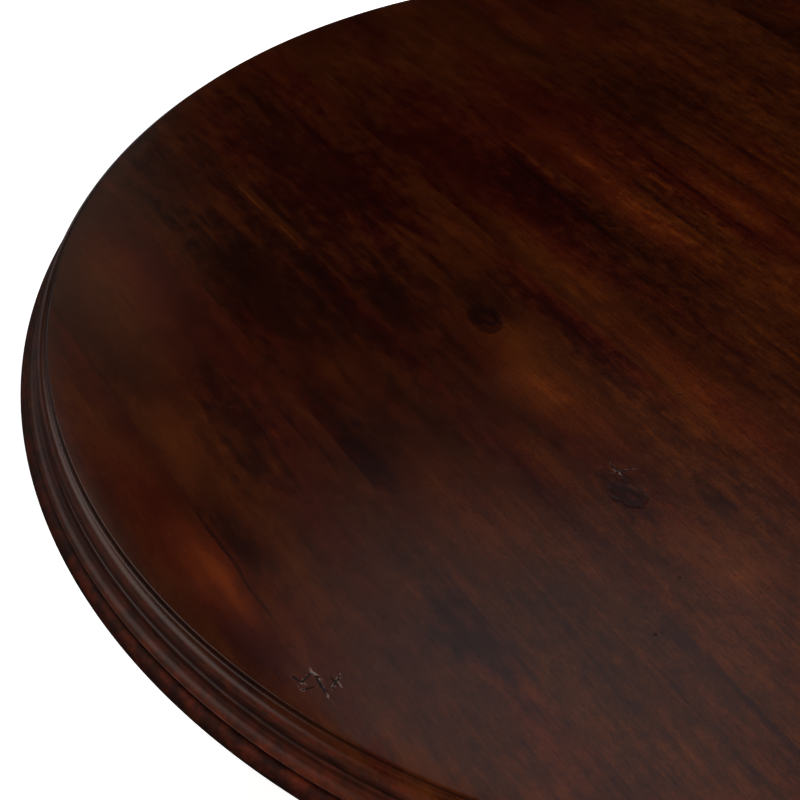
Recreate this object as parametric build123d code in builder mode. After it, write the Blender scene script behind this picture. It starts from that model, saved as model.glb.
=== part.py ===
"""Round pedestal table: a moulded top of edge-glued boards on a turned column with four curved legs.

Millimetres, +Z up, origin on the floor under the middle of the top. The boards run along X.
"""

import os
from itertools import accumulate
from math import cos, radians, sin, sqrt

from build123d import *

# Top
TABLE_HEIGHT = 762.0
FIELD_RADIUS = 581.0
BOARD_THICKNESS = 34.0
# The boards share the width of the flat field in these parts.
BOARD_PARTS = [62, 122, 106, 147, 118, 124, 123, 122, 123, 115]
SPLINE_THICKNESS = 5.0
SPLINE_WIDTH = 24.0
SPLINE_COVER = 9.0
SPLINE_END_MARGIN = 30.0

# Moulded edge of the boards: a fillet, a ledge and a round, then a quirk, a second fillet and a hollow
FILLET_LEAN = 0.5
LEDGE_FALL = 0.4
UPPER_FILLET = 4.5
UPPER_LEDGE = 1.8
ROUND_OUT = 7.1
ROUND_DROP = 13.5
ROUND_SAGITTA = 4.5
QUIRK_DEPTH = 0.9
QUIRK_HEIGHT = 2.6
LOWER_STEP = 2.0
LOWER_FILLET = 2.1
HOLLOW_OUT = 9.8
HOLLOW_DROP = 7.0
HOLLOW_SAGITTA = 2.4
LIP_HEIGHT = 1.2
LIP_TUCK = 2.5

# Ring built up under the edge in mitred segments
RIM_SEGMENTS = 8
RIM_THICKNESS = 16.0
RIM_WIDTH = 90.0
RIM_ROUND_OUT = 8.0
RIM_UNDERCUT = 4.0
RIM_BEVEL = 5.0
SHADOW_GAP = 1.6
SHADOW_GAP_DEPTH = 5.0
RIM_SCREWS_PER_SEGMENT = 2

# Bearers and battens under the boards
BEARER_DEPTH = 42.0
BEARER_WIDTH = 76.0
BEARER_END_DEPTH = 18.0
BEARER_END_SLOPE = 120.0
BEARER_END_GAP = 40.0
LONG_BEARER_END_GAP = 0.3
# The battens lie at this share of the field's radius from the middle.
BATTEN_SHARE = 0.568
BATTEN_WIDTH = 60.0
BATTEN_DEPTH = 24.0
BATTEN_END_GAP = 24.0
BATTEN_BEVEL = 14.0

# Column
HUB_BOTTOM = 130.0
HUB_HEIGHT = 132.0
HUB_RADIUS = 78.0
HUB_FLAT = 68.0
HUB_FLAT_HEIGHT = 126.0
CAVITY_SIDE = 66.0
CAVITY_DEPTH = 86.0
COLLAR_RADIUS = 86.0
COLLAR_HEIGHT = 20.0
WAIST_RADIUS = 60.0
WAIST_HEIGHT = 12.0
BELLY_RADIUS = 90.0
BELLY_RISE = 82.0
VASE_HEIGHT = 212.0
NECK_RADIUS = 41.0
RING_RADIUS = 55.0
RING_HEIGHT = 16.0
SHAFT_FOOT_RADIUS = 45.0
SHAFT_HEAD_RADIUS = 54.0
ASTRAGAL_RADIUS = 66.0
ASTRAGAL_HEIGHT = 14.0
CAPITAL_RADIUS = 88.0
CAPITAL_HEIGHT = 34.0
ABACUS_HEIGHT = 14.0
TENON_RADIUS = 27.0
TENON_LENGTH = 19.5
TENON_END_GAP = 0.5

# Tie rod that clamps the bearers to the column
ROD_RADIUS = 6.0
ROD_NUT_ACROSS = 19.0
ROD_NUT_HEIGHT = 10.0
ROD_WASHER_RADIUS = 15.0
ROD_WASHER_THICKNESS = 3.0
ROD_THREAD_SHOW = 3.0
ROD_RECESS_RADIUS = 19.0
ROD_RECESS_DEPTH = 17.0

# Legs
LEG_COUNT = 4
FIRST_LEG_ANGLE = 45.0
FOOT_REACH = 415.0
FOOT_HEIGHT = 18.0
TOE_LENGTH = 34.0
TOE_HEIGHT = 34.0
LEG_TOP_DROP = 14.0
KNEE_OUT = 116.0
KNEE_DROP = 20.0
ANKLE_IN = 88.0
ANKLE_HEIGHT = 90.0
LEG_SEAT_LENGTH = 92.0
ARCH_OUT = 104.0
ARCH_DROP = 62.0
HEEL_LENGTH = 44.0
LEG_HEAD_WIDTH = 66.0
LEG_ANKLE_WIDTH = 48.0
LEG_TOE_WIDTH = 60.0
LEG_EDGE_ROUND = 6.0

# Leg fixings
DOWEL_RADIUS = 6.0
DOWEL_LENGTH = 58.0
DOWEL_IN_HUB = 26.0
DOWEL_HEIGHTS = [34.0, 100.0]
BOLT_HEIGHT = 66.0
BOLT_RADIUS = 5.0
BOLT_IN_LEG = 40.0
BOLT_HEAD_ACROSS = 17.0
BOLT_HEAD_HEIGHT = 6.4
BOLT_WASHER_RADIUS = 10.0
BOLT_WASHER_THICKNESS = 2.0
LEG_INSERT_RADIUS = 8.0
LEG_INSERT_LENGTH = 25.0

# Iron plate and turned drop under the hub
SPIDER_THICKNESS = 3.0
SPIDER_ARM_WIDTH = 34.0
SPIDER_REACH = 150.0
SPIDER_DISC_RADIUS = 60.0
SPIDER_HUB_SCREW = 51.0
SPIDER_LEG_SCREWS = [92.0, 132.0]
DROP_RADIUS = 43.0
DROP_PLATE = 8.0
DROP_NECK_RADIUS = 26.0
DROP_NECK_HEIGHT = 8.0
DROP_BALL_RADIUS = 34.0
DROP_BALL_HEIGHT = 34.0
STUD_RADIUS = 4.0
STUD_IN_DROP = 26.0
STUD_NUT_ACROSS = 13.0
STUD_NUT_HEIGHT = 6.5
STUD_THREAD_SHOW = 3.0

# Wood screws with countersunk slotted heads
SCREW_RADIUS = 2.5
SCREW_HEAD_RADIUS = 5.0
SCREW_HEAD_HEIGHT = 2.6
SCREW_TIP = 6.0
SCREW_SLOT_WIDTH = 1.2
SCREW_SLOT_DEPTH = 1.1
SCREW_BITE = 16.0
SPIDER_SCREW_LENGTH = 24.0

# Levelling glides
FOOT_INSERT_RADIUS = 7.0
FOOT_INSERT_LENGTH = 17.0
FOOT_INSERT_FLANGE_RADIUS = 11.0
FOOT_INSERT_FLANGE = 2.0
STEM_RADIUS = 4.0
STEM_ABOVE_FOOT = 24.0
STEM_ROOM = 2.0
STEM_IN_PAD = 5.0
COLLAR_NUT_ACROSS = 13.0
COLLAR_NUT_HEIGHT = 6.0
COLLAR_NUT_GAP = 0.5
PAD_RADIUS = 19.0
PAD_RIM_HEIGHT = 4.5
PAD_TOP_RADIUS = 9.0

# Clearances
GLUE_GAP = 0.1
SCREW_GAP = 0.1
BOLT_GAP = 0.5
RUNNING_GAP = 0.06

# Heights and radii that follow from the sizes above
board_underside = TABLE_HEIGHT - BOARD_THICKNESS
rim_underside = board_underside - RIM_THICKNESS
bearer_underside = board_underside - BEARER_DEPTH
bearer_lap = board_underside - BEARER_DEPTH / 2
round_end_radius = FIELD_RADIUS + FILLET_LEAN + UPPER_LEDGE + ROUND_OUT
hollow_start_radius = round_end_radius - QUIRK_DEPTH + LOWER_STEP + FILLET_LEAN
board_radius = hollow_start_radius + HOLLOW_OUT
rim_seat_radius = board_radius - SHADOW_GAP_DEPTH
top_radius = board_radius + RIM_ROUND_OUT
rim_inner_radius = top_radius - RIM_WIDTH
rim_screw_radius = (rim_inner_radius + rim_seat_radius) / 2
cross_bearer_reach = rim_inner_radius - BEARER_END_GAP
batten_offset = BATTEN_SHARE * FIELD_RADIUS
long_bearer_reach = batten_offset - BATTEN_WIDTH / 2 - LONG_BEARER_END_GAP
batten_reach = sqrt(rim_inner_radius**2 - (batten_offset + BATTEN_WIDTH / 2) ** 2) - BATTEN_END_GAP
board_part = 2 * FIELD_RADIUS / sum(BOARD_PARTS)
seams = [board_part * parts - FIELD_RADIUS for parts in accumulate(BOARD_PARTS[:-1])]
board_edges = [-top_radius, *seams, top_radius]
board_middles = [(low + high) / 2 for low, high in zip(board_edges, board_edges[1:])]
leg_angles = [FIRST_LEG_ANGLE + 360 / LEG_COUNT * k for k in range(LEG_COUNT)]

os.makedirs("parts", exist_ok=True)


def save(piece, name):
    """Labels a finished piece and writes its STEP file."""
    piece.label = name
    export_step(piece, f"parts/{name}.step")


def around_legs(radius, height=0.0):
    """Places a shape that is drawn along +X at every leg."""
    return [
        Location((radius * cos(radians(a)), radius * sin(radians(a)), height), (0, 0, a))
        for a in leg_angles
    ]


def screw_outline(length, gap):
    """Corners of half a countersunk screw that points up from its head at Z = 0."""
    return [
        (0, 0),
        (SCREW_HEAD_RADIUS + gap, 0),
        (SCREW_RADIUS + gap, SCREW_HEAD_HEIGHT + gap),
        (SCREW_RADIUS + gap, length - SCREW_TIP + gap),
        (0, length + gap),
    ]


def make_screw(length):
    """A slotted countersunk wood screw, its head at the origin and its point up."""
    with BuildPart() as screw:
        with BuildSketch(Plane.XZ):
            with BuildLine():
                Polyline(*screw_outline(length, 0), close=True)
            make_face()
        revolve(axis=Axis.Z)
        Box(
            2 * SCREW_HEAD_RADIUS,
            SCREW_SLOT_WIDTH,
            SCREW_SLOT_DEPTH,
            align=(Align.CENTER, Align.CENTER, Align.MIN),
            mode=Mode.SUBTRACT,
        )
    return screw.part


def make_screw_hole(length):
    """The hole that such a screw leaves in the pieces it passes through."""
    with BuildPart() as hole:
        with BuildSketch(Plane.XZ):
            with BuildLine():
                Polyline(*screw_outline(length, SCREW_GAP), close=True)
            make_face()
        revolve(axis=Axis.Z)
    return hole.part


# Screw lengths and places, named for the piece under which the heads lie
rim_screw_length = RIM_THICKNESS + SCREW_BITE
bearer_screw_length = BEARER_DEPTH + SCREW_BITE
batten_screw_length = BATTEN_DEPTH + SCREW_BITE

rim_screw_step = 360 / RIM_SEGMENTS / RIM_SCREWS_PER_SEGMENT
rim_screw_places = [
    Location(
        (
            rim_screw_radius * cos(radians((k + 0.5) * rim_screw_step)),
            rim_screw_radius * sin(radians((k + 0.5) * rim_screw_step)),
            rim_underside,
        )
    )
    for k in range(RIM_SEGMENTS * RIM_SCREWS_PER_SEGMENT)
]
cross_bearer_screw_places = [
    Location((0, y, bearer_underside))
    for y in board_middles
    if CAPITAL_RADIUS < abs(y) < cross_bearer_reach - BEARER_END_SLOPE
]
long_bearer_screw_offset = (CAPITAL_RADIUS + long_bearer_reach - BEARER_END_SLOPE) / 2
long_bearer_screw_places = [
    Location((side * long_bearer_screw_offset, 0, bearer_underside)) for side in (-1, 1)
]
batten_screw_places = [
    Location((side * batten_offset, y, board_underside - BATTEN_DEPTH))
    for side in (-1, 1)
    for y in board_middles
    if abs(y) < batten_reach - BATTEN_BEVEL - SCREW_HEAD_RADIUS
]


# Corners of the moulded edge, from the arris of the top down to the underside
arris = (FIELD_RADIUS, TABLE_HEIGHT)
upper_foot = (FIELD_RADIUS + FILLET_LEAN, TABLE_HEIGHT - UPPER_FILLET)
upper_ledge = (upper_foot[0] + UPPER_LEDGE, upper_foot[1] - LEDGE_FALL)
round_end = (upper_ledge[0] + ROUND_OUT, upper_ledge[1] - ROUND_DROP)
quirk = (round_end[0] - QUIRK_DEPTH, round_end[1] - QUIRK_HEIGHT)
lower_arris = (quirk[0] + LOWER_STEP, quirk[1] - LEDGE_FALL)
lower_foot = (lower_arris[0] + FILLET_LEAN, lower_arris[1] - LOWER_FILLET)
hollow_end = (lower_foot[0] + HOLLOW_OUT, lower_foot[1] - HOLLOW_DROP)
lip = (hollow_end[0], hollow_end[1] - LIP_HEIGHT)
tuck = (lip[0] - LIP_TUCK, board_underside)

# Top boards
spline_level = TABLE_HEIGHT - SPLINE_COVER - SPLINE_THICKNESS / 2
spline_reach = FIELD_RADIUS - SPLINE_END_MARGIN
spline_lengths = [2 * sqrt(spline_reach**2 - (abs(y) + SPLINE_WIDTH / 2) ** 2) for y in seams]

rim_screw = make_screw(rim_screw_length)
rim_screw_hole = make_screw_hole(rim_screw_length)
bearer_screw = make_screw(bearer_screw_length)
bearer_screw_hole = make_screw_hole(bearer_screw_length)
batten_screw = make_screw(batten_screw_length)
batten_screw_hole = make_screw_hole(batten_screw_length)
spider_screw = make_screw(SPIDER_SCREW_LENGTH)
spider_screw_hole = make_screw_hole(SPIDER_SCREW_LENGTH)

for number, (low, high) in enumerate(zip(board_edges, board_edges[1:]), start=1):
    with BuildPart() as board:
        with BuildSketch(Plane.XZ):
            with BuildLine():
                Polyline((0, board_underside), (0, TABLE_HEIGHT), arris, upper_foot, upper_ledge)
                SagittaArc(upper_ledge, round_end, ROUND_SAGITTA)
                Polyline(round_end, quirk, lower_arris, lower_foot)
                SagittaArc(lower_foot, hollow_end, -HOLLOW_SAGITTA)
                Polyline(hollow_end, lip, tuck, (0, board_underside))
            make_face()
        revolve(axis=Axis.Z)
        with Locations((0, (low + high) / 2, TABLE_HEIGHT - BOARD_THICKNESS / 2)):
            Box(2 * top_radius, high - low, BOARD_THICKNESS, mode=Mode.INTERSECT)
        for seam, length in zip(seams, spline_lengths):
            if seam in (low, high):
                with Locations((0, seam, spline_level)):
                    Box(
                        length + 2 * GLUE_GAP,
                        SPLINE_WIDTH + 2 * GLUE_GAP,
                        SPLINE_THICKNESS + 2 * GLUE_GAP,
                        mode=Mode.SUBTRACT,
                    )
        with Locations(*rim_screw_places):
            add(rim_screw_hole, mode=Mode.SUBTRACT)
        with Locations(*cross_bearer_screw_places, *long_bearer_screw_places):
            add(bearer_screw_hole, mode=Mode.SUBTRACT)
        with Locations(*batten_screw_places):
            add(batten_screw_hole, mode=Mode.SUBTRACT)
    save(board.part, f"top_board_{number}")

# Loose tongues between the boards
with BuildPart() as board_splines:
    for seam, length in zip(seams, spline_lengths):
        with Locations((0, seam, spline_level)):
            Box(length, SPLINE_WIDTH, SPLINE_THICKNESS)
save(board_splines.part, "board_splines")

# Rim segments
for number in range(1, RIM_SEGMENTS + 1):
    mitre = radians((number - 1) * 360 / RIM_SEGMENTS)
    mitre_plane = Plane((0, 0, 0), x_dir=(cos(mitre), sin(mitre), 0), z_dir=(sin(mitre), -cos(mitre), 0))
    with BuildPart() as rim_segment:
        with BuildSketch(mitre_plane):
            with BuildLine():
                gap_floor = board_underside - SHADOW_GAP
                Polyline(
                    (rim_inner_radius, rim_underside + RIM_BEVEL),
                    (rim_inner_radius, board_underside),
                    (rim_seat_radius, board_underside),
                    (rim_seat_radius, gap_floor),
                    (board_radius, gap_floor),
                )
                ThreePointArc(
                    (board_radius, gap_floor),
                    (top_radius, (gap_floor + rim_underside) / 2),
                    (top_radius - RIM_UNDERCUT, rim_underside),
                )
                Polyline(
                    (top_radius - RIM_UNDERCUT, rim_underside),
                    (rim_inner_radius + RIM_BEVEL, rim_underside),
                    (rim_inner_radius, rim_underside + RIM_BEVEL),
                )
            make_face()
        revolve(axis=Axis.Z, revolution_arc=360 / RIM_SEGMENTS)
        with Locations(*rim_screw_places):
            add(rim_screw_hole, mode=Mode.SUBTRACT)
    save(rim_segment.part, f"rim_segment_{number}")

with BuildPart() as rim_screws:
    with Locations(*rim_screw_places):
        add(rim_screw)
save(rim_screws.part, "rim_screws")

# Bearers, halved over each other above the column
rod_top_recess = board_underside - ROD_RECESS_DEPTH
mortise_depth = TENON_LENGTH + TENON_END_GAP


def build_bearer(name, plane, reach, lap_low, lap_high, screw_places):
    """A tapered bearer across the middle of the top, with half its depth cut away at the lap."""
    level_reach = reach - BEARER_END_SLOPE
    with BuildPart() as bearer:
        with BuildSketch(plane):
            with BuildLine():
                Polyline(
                    (-reach, board_underside),
                    (reach, board_underside),
                    (reach, board_underside - BEARER_END_DEPTH),
                    (level_reach, bearer_underside),
                    (-level_reach, bearer_underside),
                    (-reach, board_underside - BEARER_END_DEPTH),
                    close=True,
                )
            make_face()
        extrude(amount=BEARER_WIDTH / 2, both=True)
        with Locations((0, 0, (lap_low + lap_high) / 2)):
            Box(BEARER_WIDTH, BEARER_WIDTH, lap_high - lap_low, mode=Mode.SUBTRACT)
        with Locations((0, 0, bearer_underside)):
            Cylinder(
                TENON_RADIUS + GLUE_GAP,
                mortise_depth,
                align=(Align.CENTER, Align.CENTER, Align.MIN),
                mode=Mode.SUBTRACT,
            )
            Cylinder(
                ROD_RADIUS + BOLT_GAP,
                BEARER_DEPTH,
                align=(Align.CENTER, Align.CENTER, Align.MIN),
                mode=Mode.SUBTRACT,
            )
        with Locations((0, 0, rod_top_recess)):
            Cylinder(
                ROD_RECESS_RADIUS,
                ROD_RECESS_DEPTH,
                align=(Align.CENTER, Align.CENTER, Align.MIN),
                mode=Mode.SUBTRACT,
            )
        with Locations(*screw_places):
            add(bearer_screw_hole, mode=Mode.SUBTRACT)
    save(bearer.part, name)


build_bearer(
    "cross_bearer",
    Plane.YZ,
    cross_bearer_reach,
    bearer_lap,
    board_underside,
    cross_bearer_screw_places,
)
build_bearer(
    "long_bearer",
    Plane.XZ,
    long_bearer_reach,
    bearer_underside,
    bearer_lap,
    long_bearer_screw_places,
)

with BuildPart() as bearer_screws:
    with Locations(*cross_bearer_screw_places, *long_bearer_screw_places):
        add(bearer_screw)
save(bearer_screws.part, "bearer_screws")

# Battens
for name, side in (("left_batten", -1), ("right_batten", 1)):
    with BuildPart() as batten:
        with BuildSketch(Plane.YZ.offset(side * batten_offset)):
            with BuildLine():
                batten_underside = board_underside - BATTEN_DEPTH
                Polyline(
                    (-batten_reach, board_underside),
                    (batten_reach, board_underside),
                    (batten_reach, batten_underside + BATTEN_BEVEL),
                    (batten_reach - BATTEN_BEVEL, batten_underside),
                    (-batten_reach + BATTEN_BEVEL, batten_underside),
                    (-batten_reach, batten_underside + BATTEN_BEVEL),
                    close=True,
                )
            make_face()
        extrude(amount=BATTEN_WIDTH / 2, both=True)
        with Locations(*batten_screw_places):
            add(batten_screw_hole, mode=Mode.SUBTRACT)
    save(batten.part, name)

with BuildPart() as batten_screws:
    with Locations(*batten_screw_places):
        add(batten_screw)
save(batten_screws.part, "batten_screws")

# Column
hub_top = HUB_BOTTOM + HUB_HEIGHT
collar_top = hub_top + COLLAR_HEIGHT
vase_bottom = collar_top + WAIST_HEIGHT
vase_top = vase_bottom + VASE_HEIGHT
ring_top = vase_top + RING_HEIGHT
capital_bottom = bearer_underside - ABACUS_HEIGHT - CAPITAL_HEIGHT
astragal_bottom = capital_bottom - ASTRAGAL_HEIGHT
cavity_top = HUB_BOTTOM + CAVITY_DEPTH
bolt_level = HUB_BOTTOM + BOLT_HEIGHT
dowel_levels = [HUB_BOTTOM + height for height in DOWEL_HEIGHTS]
dowel_start = HUB_FLAT - DOWEL_IN_HUB

with BuildPart() as column:
    with BuildSketch(Plane.XZ):
        with BuildLine():
            Polyline((0, HUB_BOTTOM), (HUB_RADIUS, HUB_BOTTOM), (HUB_RADIUS, hub_top))
            ThreePointArc(
                (HUB_RADIUS, hub_top),
                (COLLAR_RADIUS, hub_top + COLLAR_HEIGHT / 2),
                (HUB_RADIUS, collar_top),
            )
            Line((HUB_RADIUS, collar_top), (WAIST_RADIUS, collar_top))
            Line((WAIST_RADIUS, collar_top), (WAIST_RADIUS, vase_bottom))
            Spline(
                (WAIST_RADIUS, vase_bottom),
                (BELLY_RADIUS, vase_bottom + BELLY_RISE),
                (NECK_RADIUS, vase_top),
                tangents=((1, 0.6), (0, 1)),
            )
            Line((NECK_RADIUS, vase_top), (SHAFT_FOOT_RADIUS, vase_top))
            ThreePointArc(
                (SHAFT_FOOT_RADIUS, vase_top),
                (RING_RADIUS, vase_top + RING_HEIGHT / 2),
                (SHAFT_FOOT_RADIUS, ring_top),
            )
            Line((SHAFT_FOOT_RADIUS, ring_top), (SHAFT_HEAD_RADIUS, astragal_bottom))
            ThreePointArc(
                (SHAFT_HEAD_RADIUS, astragal_bottom),
                (ASTRAGAL_RADIUS, astragal_bottom + ASTRAGAL_HEIGHT / 2),
                (SHAFT_HEAD_RADIUS, capital_bottom),
            )
            Spline(
                (SHAFT_HEAD_RADIUS, capital_bottom),
                (CAPITAL_RADIUS, capital_bottom + CAPITAL_HEIGHT),
                tangents=((0, 1), (1, 0.4)),
            )
            Polyline(
                (CAPITAL_RADIUS, capital_bottom + CAPITAL_HEIGHT),
                (CAPITAL_RADIUS, bearer_underside),
                (TENON_RADIUS, bearer_underside),
                (TENON_RADIUS, bearer_underside + TENON_LENGTH),
                (0, bearer_underside + TENON_LENGTH),
                (0, HUB_BOTTOM),
            )
        make_face()
    revolve(axis=Axis.Z)
    # Flats for the legs
    flat_depth = 2 * (HUB_RADIUS - HUB_FLAT)
    with Locations(*around_legs(HUB_FLAT + flat_depth / 2, HUB_BOTTOM)):
        Box(
            flat_depth,
            2 * HUB_RADIUS,
            HUB_FLAT_HEIGHT,
            align=(Align.CENTER, Align.CENTER, Align.MIN),
            mode=Mode.SUBTRACT,
        )
    # Square cavity for the leg bolts, and the bore for the tie rod
    with Locations(Location((0, 0, HUB_BOTTOM), (0, 0, FIRST_LEG_ANGLE))):
        Box(
            CAVITY_SIDE,
            CAVITY_SIDE,
            CAVITY_DEPTH,
            align=(Align.CENTER, Align.CENTER, Align.MIN),
            mode=Mode.SUBTRACT,
        )
    with Locations((0, 0, cavity_top)):
        Cylinder(
            ROD_RADIUS + BOLT_GAP,
            bearer_underside + TENON_LENGTH - cavity_top,
            align=(Align.CENTER, Align.CENTER, Align.MIN),
            mode=Mode.SUBTRACT,
        )
    for level in dowel_levels:
        with Locations(*around_legs(dowel_start - GLUE_GAP, level)):
            Cylinder(
                DOWEL_RADIUS + GLUE_GAP,
                DOWEL_LENGTH,
                rotation=(0, 90, 0),
                align=(Align.CENTER, Align.CENTER, Align.MIN),
                mode=Mode.SUBTRACT,
            )
    with Locations(*around_legs(0, bolt_level)):
        Cylinder(
            BOLT_RADIUS + BOLT_GAP,
            HUB_RADIUS,
            rotation=(0, 90, 0),
            align=(Align.CENTER, Align.CENTER, Align.MIN),
            mode=Mode.SUBTRACT,
        )
    with Locations(*around_legs(SPIDER_HUB_SCREW, HUB_BOTTOM - SPIDER_THICKNESS)):
        add(spider_screw_hole, mode=Mode.SUBTRACT)
save(column.part, "column")

# Tie rod, its washers and nuts
rod_bottom = cavity_top - ROD_WASHER_THICKNESS - ROD_NUT_HEIGHT - ROD_THREAD_SHOW
rod_top = rod_top_recess + ROD_WASHER_THICKNESS + ROD_NUT_HEIGHT + ROD_THREAD_SHOW

with BuildPart() as tie_rod:
    with Locations((0, 0, rod_bottom)):
        Cylinder(ROD_RADIUS, rod_top - rod_bottom, align=(Align.CENTER, Align.CENTER, Align.MIN))
save(tie_rod.part, "tie_rod")


def build_rings(name, radius, bore, thickness, places):
    """Washers with a round bore, each standing on its place along the local Z axis."""
    with BuildPart() as rings:
        with Locations(*places):
            Cylinder(radius, thickness, align=(Align.CENTER, Align.CENTER, Align.MIN))
            Cylinder(
                bore,
                thickness,
                align=(Align.CENTER, Align.CENTER, Align.MIN),
                mode=Mode.SUBTRACT,
            )
    save(rings.part, name)


def build_nuts(name, across, bore, height, places):
    """Hexagon nuts, each standing on its place along the local Z axis."""
    with BuildPart() as nut:
        with BuildSketch():
            RegularPolygon(across / 2, 6, major_radius=False)
            Circle(bore, mode=Mode.SUBTRACT)
        extrude(amount=height)
    with BuildPart() as nuts:
        with Locations(*places):
            add(nut.part)
    save(nuts.part, name)


build_rings(
    "tie_rod_washers",
    ROD_WASHER_RADIUS,
    ROD_RADIUS + BOLT_GAP,
    ROD_WASHER_THICKNESS,
    [(0, 0, rod_top_recess), (0, 0, cavity_top - ROD_WASHER_THICKNESS)],
)
build_nuts(
    "tie_rod_nuts",
    ROD_NUT_ACROSS,
    ROD_RADIUS + RUNNING_GAP,
    ROD_NUT_HEIGHT,
    [
        (0, 0, rod_top_recess + ROD_WASHER_THICKNESS),
        (0, 0, cavity_top - ROD_WASHER_THICKNESS - ROD_NUT_HEIGHT),
    ],
)

# Legs
leg_top = HUB_BOTTOM + HUB_FLAT_HEIGHT - LEG_TOP_DROP / 2
toe_end = FOOT_REACH + TOE_LENGTH
seat_end = HUB_FLAT + LEG_SEAT_LENGTH
heel = FOOT_REACH - HEEL_LENGTH
ankle = FOOT_REACH - ANKLE_IN
toe_top = FOOT_HEIGHT + TOE_HEIGHT
stem_room_top = FOOT_HEIGHT + STEM_ABOVE_FOOT + STEM_ROOM

with BuildPart() as leg:
    with BuildSketch(Plane.XZ):
        with BuildLine():
            Line((HUB_FLAT, HUB_BOTTOM), (HUB_FLAT, leg_top))
            Spline(
                (HUB_FLAT, leg_top),
                (HUB_FLAT + KNEE_OUT, leg_top - KNEE_DROP),
                (ankle, ANKLE_HEIGHT),
                (FOOT_REACH, toe_top),
                tangents=((1, 0.12), (1, -0.1)),
            )
            Spline(
                (FOOT_REACH, toe_top),
                (toe_end, FOOT_HEIGHT),
                tangents=((1, -0.1), (-0.35, -1)),
            )
            Line((toe_end, FOOT_HEIGHT), (heel, FOOT_HEIGHT))
            Spline(
                (heel, FOOT_HEIGHT),
                (seat_end + ARCH_OUT, HUB_BOTTOM - ARCH_DROP),
                (seat_end, HUB_BOTTOM),
                tangents=((-1, 0.3), (-1, 0.1)),
            )
            Line((seat_end, HUB_BOTTOM), (HUB_FLAT, HUB_BOTTOM))
        make_face()
    extrude(amount=LEG_HEAD_WIDTH, both=True)
    with BuildSketch(Plane.XY):
        with BuildLine():
            for side in (-1, 1):
                Spline(
                    (HUB_FLAT, side * LEG_HEAD_WIDTH / 2),
                    (ankle, side * LEG_ANKLE_WIDTH / 2),
                    (FOOT_REACH, side * LEG_TOE_WIDTH / 2),
                    tangents=((1, 0), (1, 0)),
                )
            ThreePointArc(
                (FOOT_REACH, -LEG_TOE_WIDTH / 2),
                (toe_end, 0),
                (FOOT_REACH, LEG_TOE_WIDTH / 2),
            )
            Line((HUB_FLAT, -LEG_HEAD_WIDTH / 2), (HUB_FLAT, LEG_HEAD_WIDTH / 2))
        make_face()
    extrude(amount=TABLE_HEIGHT, mode=Mode.INTERSECT)
    upward_faces = [face for face in leg.faces() if face.normal_at().Z > 0.1]
    upper_edges = [
        edge
        for face in upward_faces
        for edge in face.edges()
        if abs(edge.center().Y) > LEG_ANKLE_WIDTH / 4 and edge.center().X > HUB_FLAT + LEG_EDGE_ROUND
    ]
    fillet(upper_edges, LEG_EDGE_ROUND)
    for level in dowel_levels:
        with Locations((dowel_start, 0, level)):
            Cylinder(
                DOWEL_RADIUS + GLUE_GAP,
                DOWEL_LENGTH + GLUE_GAP,
                rotation=(0, 90, 0),
                align=(Align.CENTER, Align.CENTER, Align.MIN),
                mode=Mode.SUBTRACT,
            )
    with Locations((HUB_FLAT, 0, bolt_level)):
        Cylinder(
            LEG_INSERT_RADIUS + GLUE_GAP,
            LEG_INSERT_LENGTH + GLUE_GAP,
            rotation=(0, 90, 0),
            align=(Align.CENTER, Align.CENTER, Align.MIN),
            mode=Mode.SUBTRACT,
        )
        Cylinder(
            BOLT_RADIUS + BOLT_GAP,
            BOLT_IN_LEG + BOLT_GAP,
            rotation=(0, 90, 0),
            align=(Align.CENTER, Align.CENTER, Align.MIN),
            mode=Mode.SUBTRACT,
        )
    with Locations(*[(x, 0, HUB_BOTTOM - SPIDER_THICKNESS) for x in SPIDER_LEG_SCREWS]):
        add(spider_screw_hole, mode=Mode.SUBTRACT)
    with Locations((FOOT_REACH, 0, FOOT_HEIGHT)):
        Cylinder(
            FOOT_INSERT_FLANGE_RADIUS + GLUE_GAP,
            FOOT_INSERT_FLANGE + GLUE_GAP,
            align=(Align.CENTER, Align.CENTER, Align.MIN),
            mode=Mode.SUBTRACT,
        )
        Cylinder(
            FOOT_INSERT_RADIUS + GLUE_GAP,
            FOOT_INSERT_LENGTH + GLUE_GAP,
            align=(Align.CENTER, Align.CENTER, Align.MIN),
            mode=Mode.SUBTRACT,
        )
        Cylinder(
            STEM_RADIUS + BOLT_GAP,
            stem_room_top - FOOT_HEIGHT,
            align=(Align.CENTER, Align.CENTER, Align.MIN),
            mode=Mode.SUBTRACT,
        )

for number, place in enumerate(around_legs(0), start=1):
    with BuildPart() as turned_leg:
        with Locations(place):
            add(leg.part)
    save(turned_leg.part, f"leg_{number}")

# Leg dowels, bolts, washers and threaded inserts
with BuildPart() as leg_dowels:
    for level in dowel_levels:
        with Locations(*around_legs(dowel_start, level)):
            Cylinder(
                DOWEL_RADIUS,
                DOWEL_LENGTH,
                rotation=(0, 90, 0),
                align=(Align.CENTER, Align.CENTER, Align.MIN),
            )
save(leg_dowels.part, "leg_dowels")

cavity_wall = CAVITY_SIDE / 2
bolt_head_end = cavity_wall - BOLT_WASHER_THICKNESS

with BuildPart() as leg_bolt:
    with BuildSketch(Plane.YZ.offset(bolt_head_end - BOLT_HEAD_HEIGHT)):
        RegularPolygon(BOLT_HEAD_ACROSS / 2, 6, major_radius=False)
    extrude(amount=BOLT_HEAD_HEIGHT)
    with BuildSketch(Plane.YZ.offset(bolt_head_end)):
        Circle(BOLT_RADIUS)
    extrude(amount=HUB_FLAT + BOLT_IN_LEG - bolt_head_end)

with BuildPart() as leg_bolts:
    with Locations(*around_legs(0, bolt_level)):
        add(leg_bolt.part)
save(leg_bolts.part, "leg_bolts")


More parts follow.
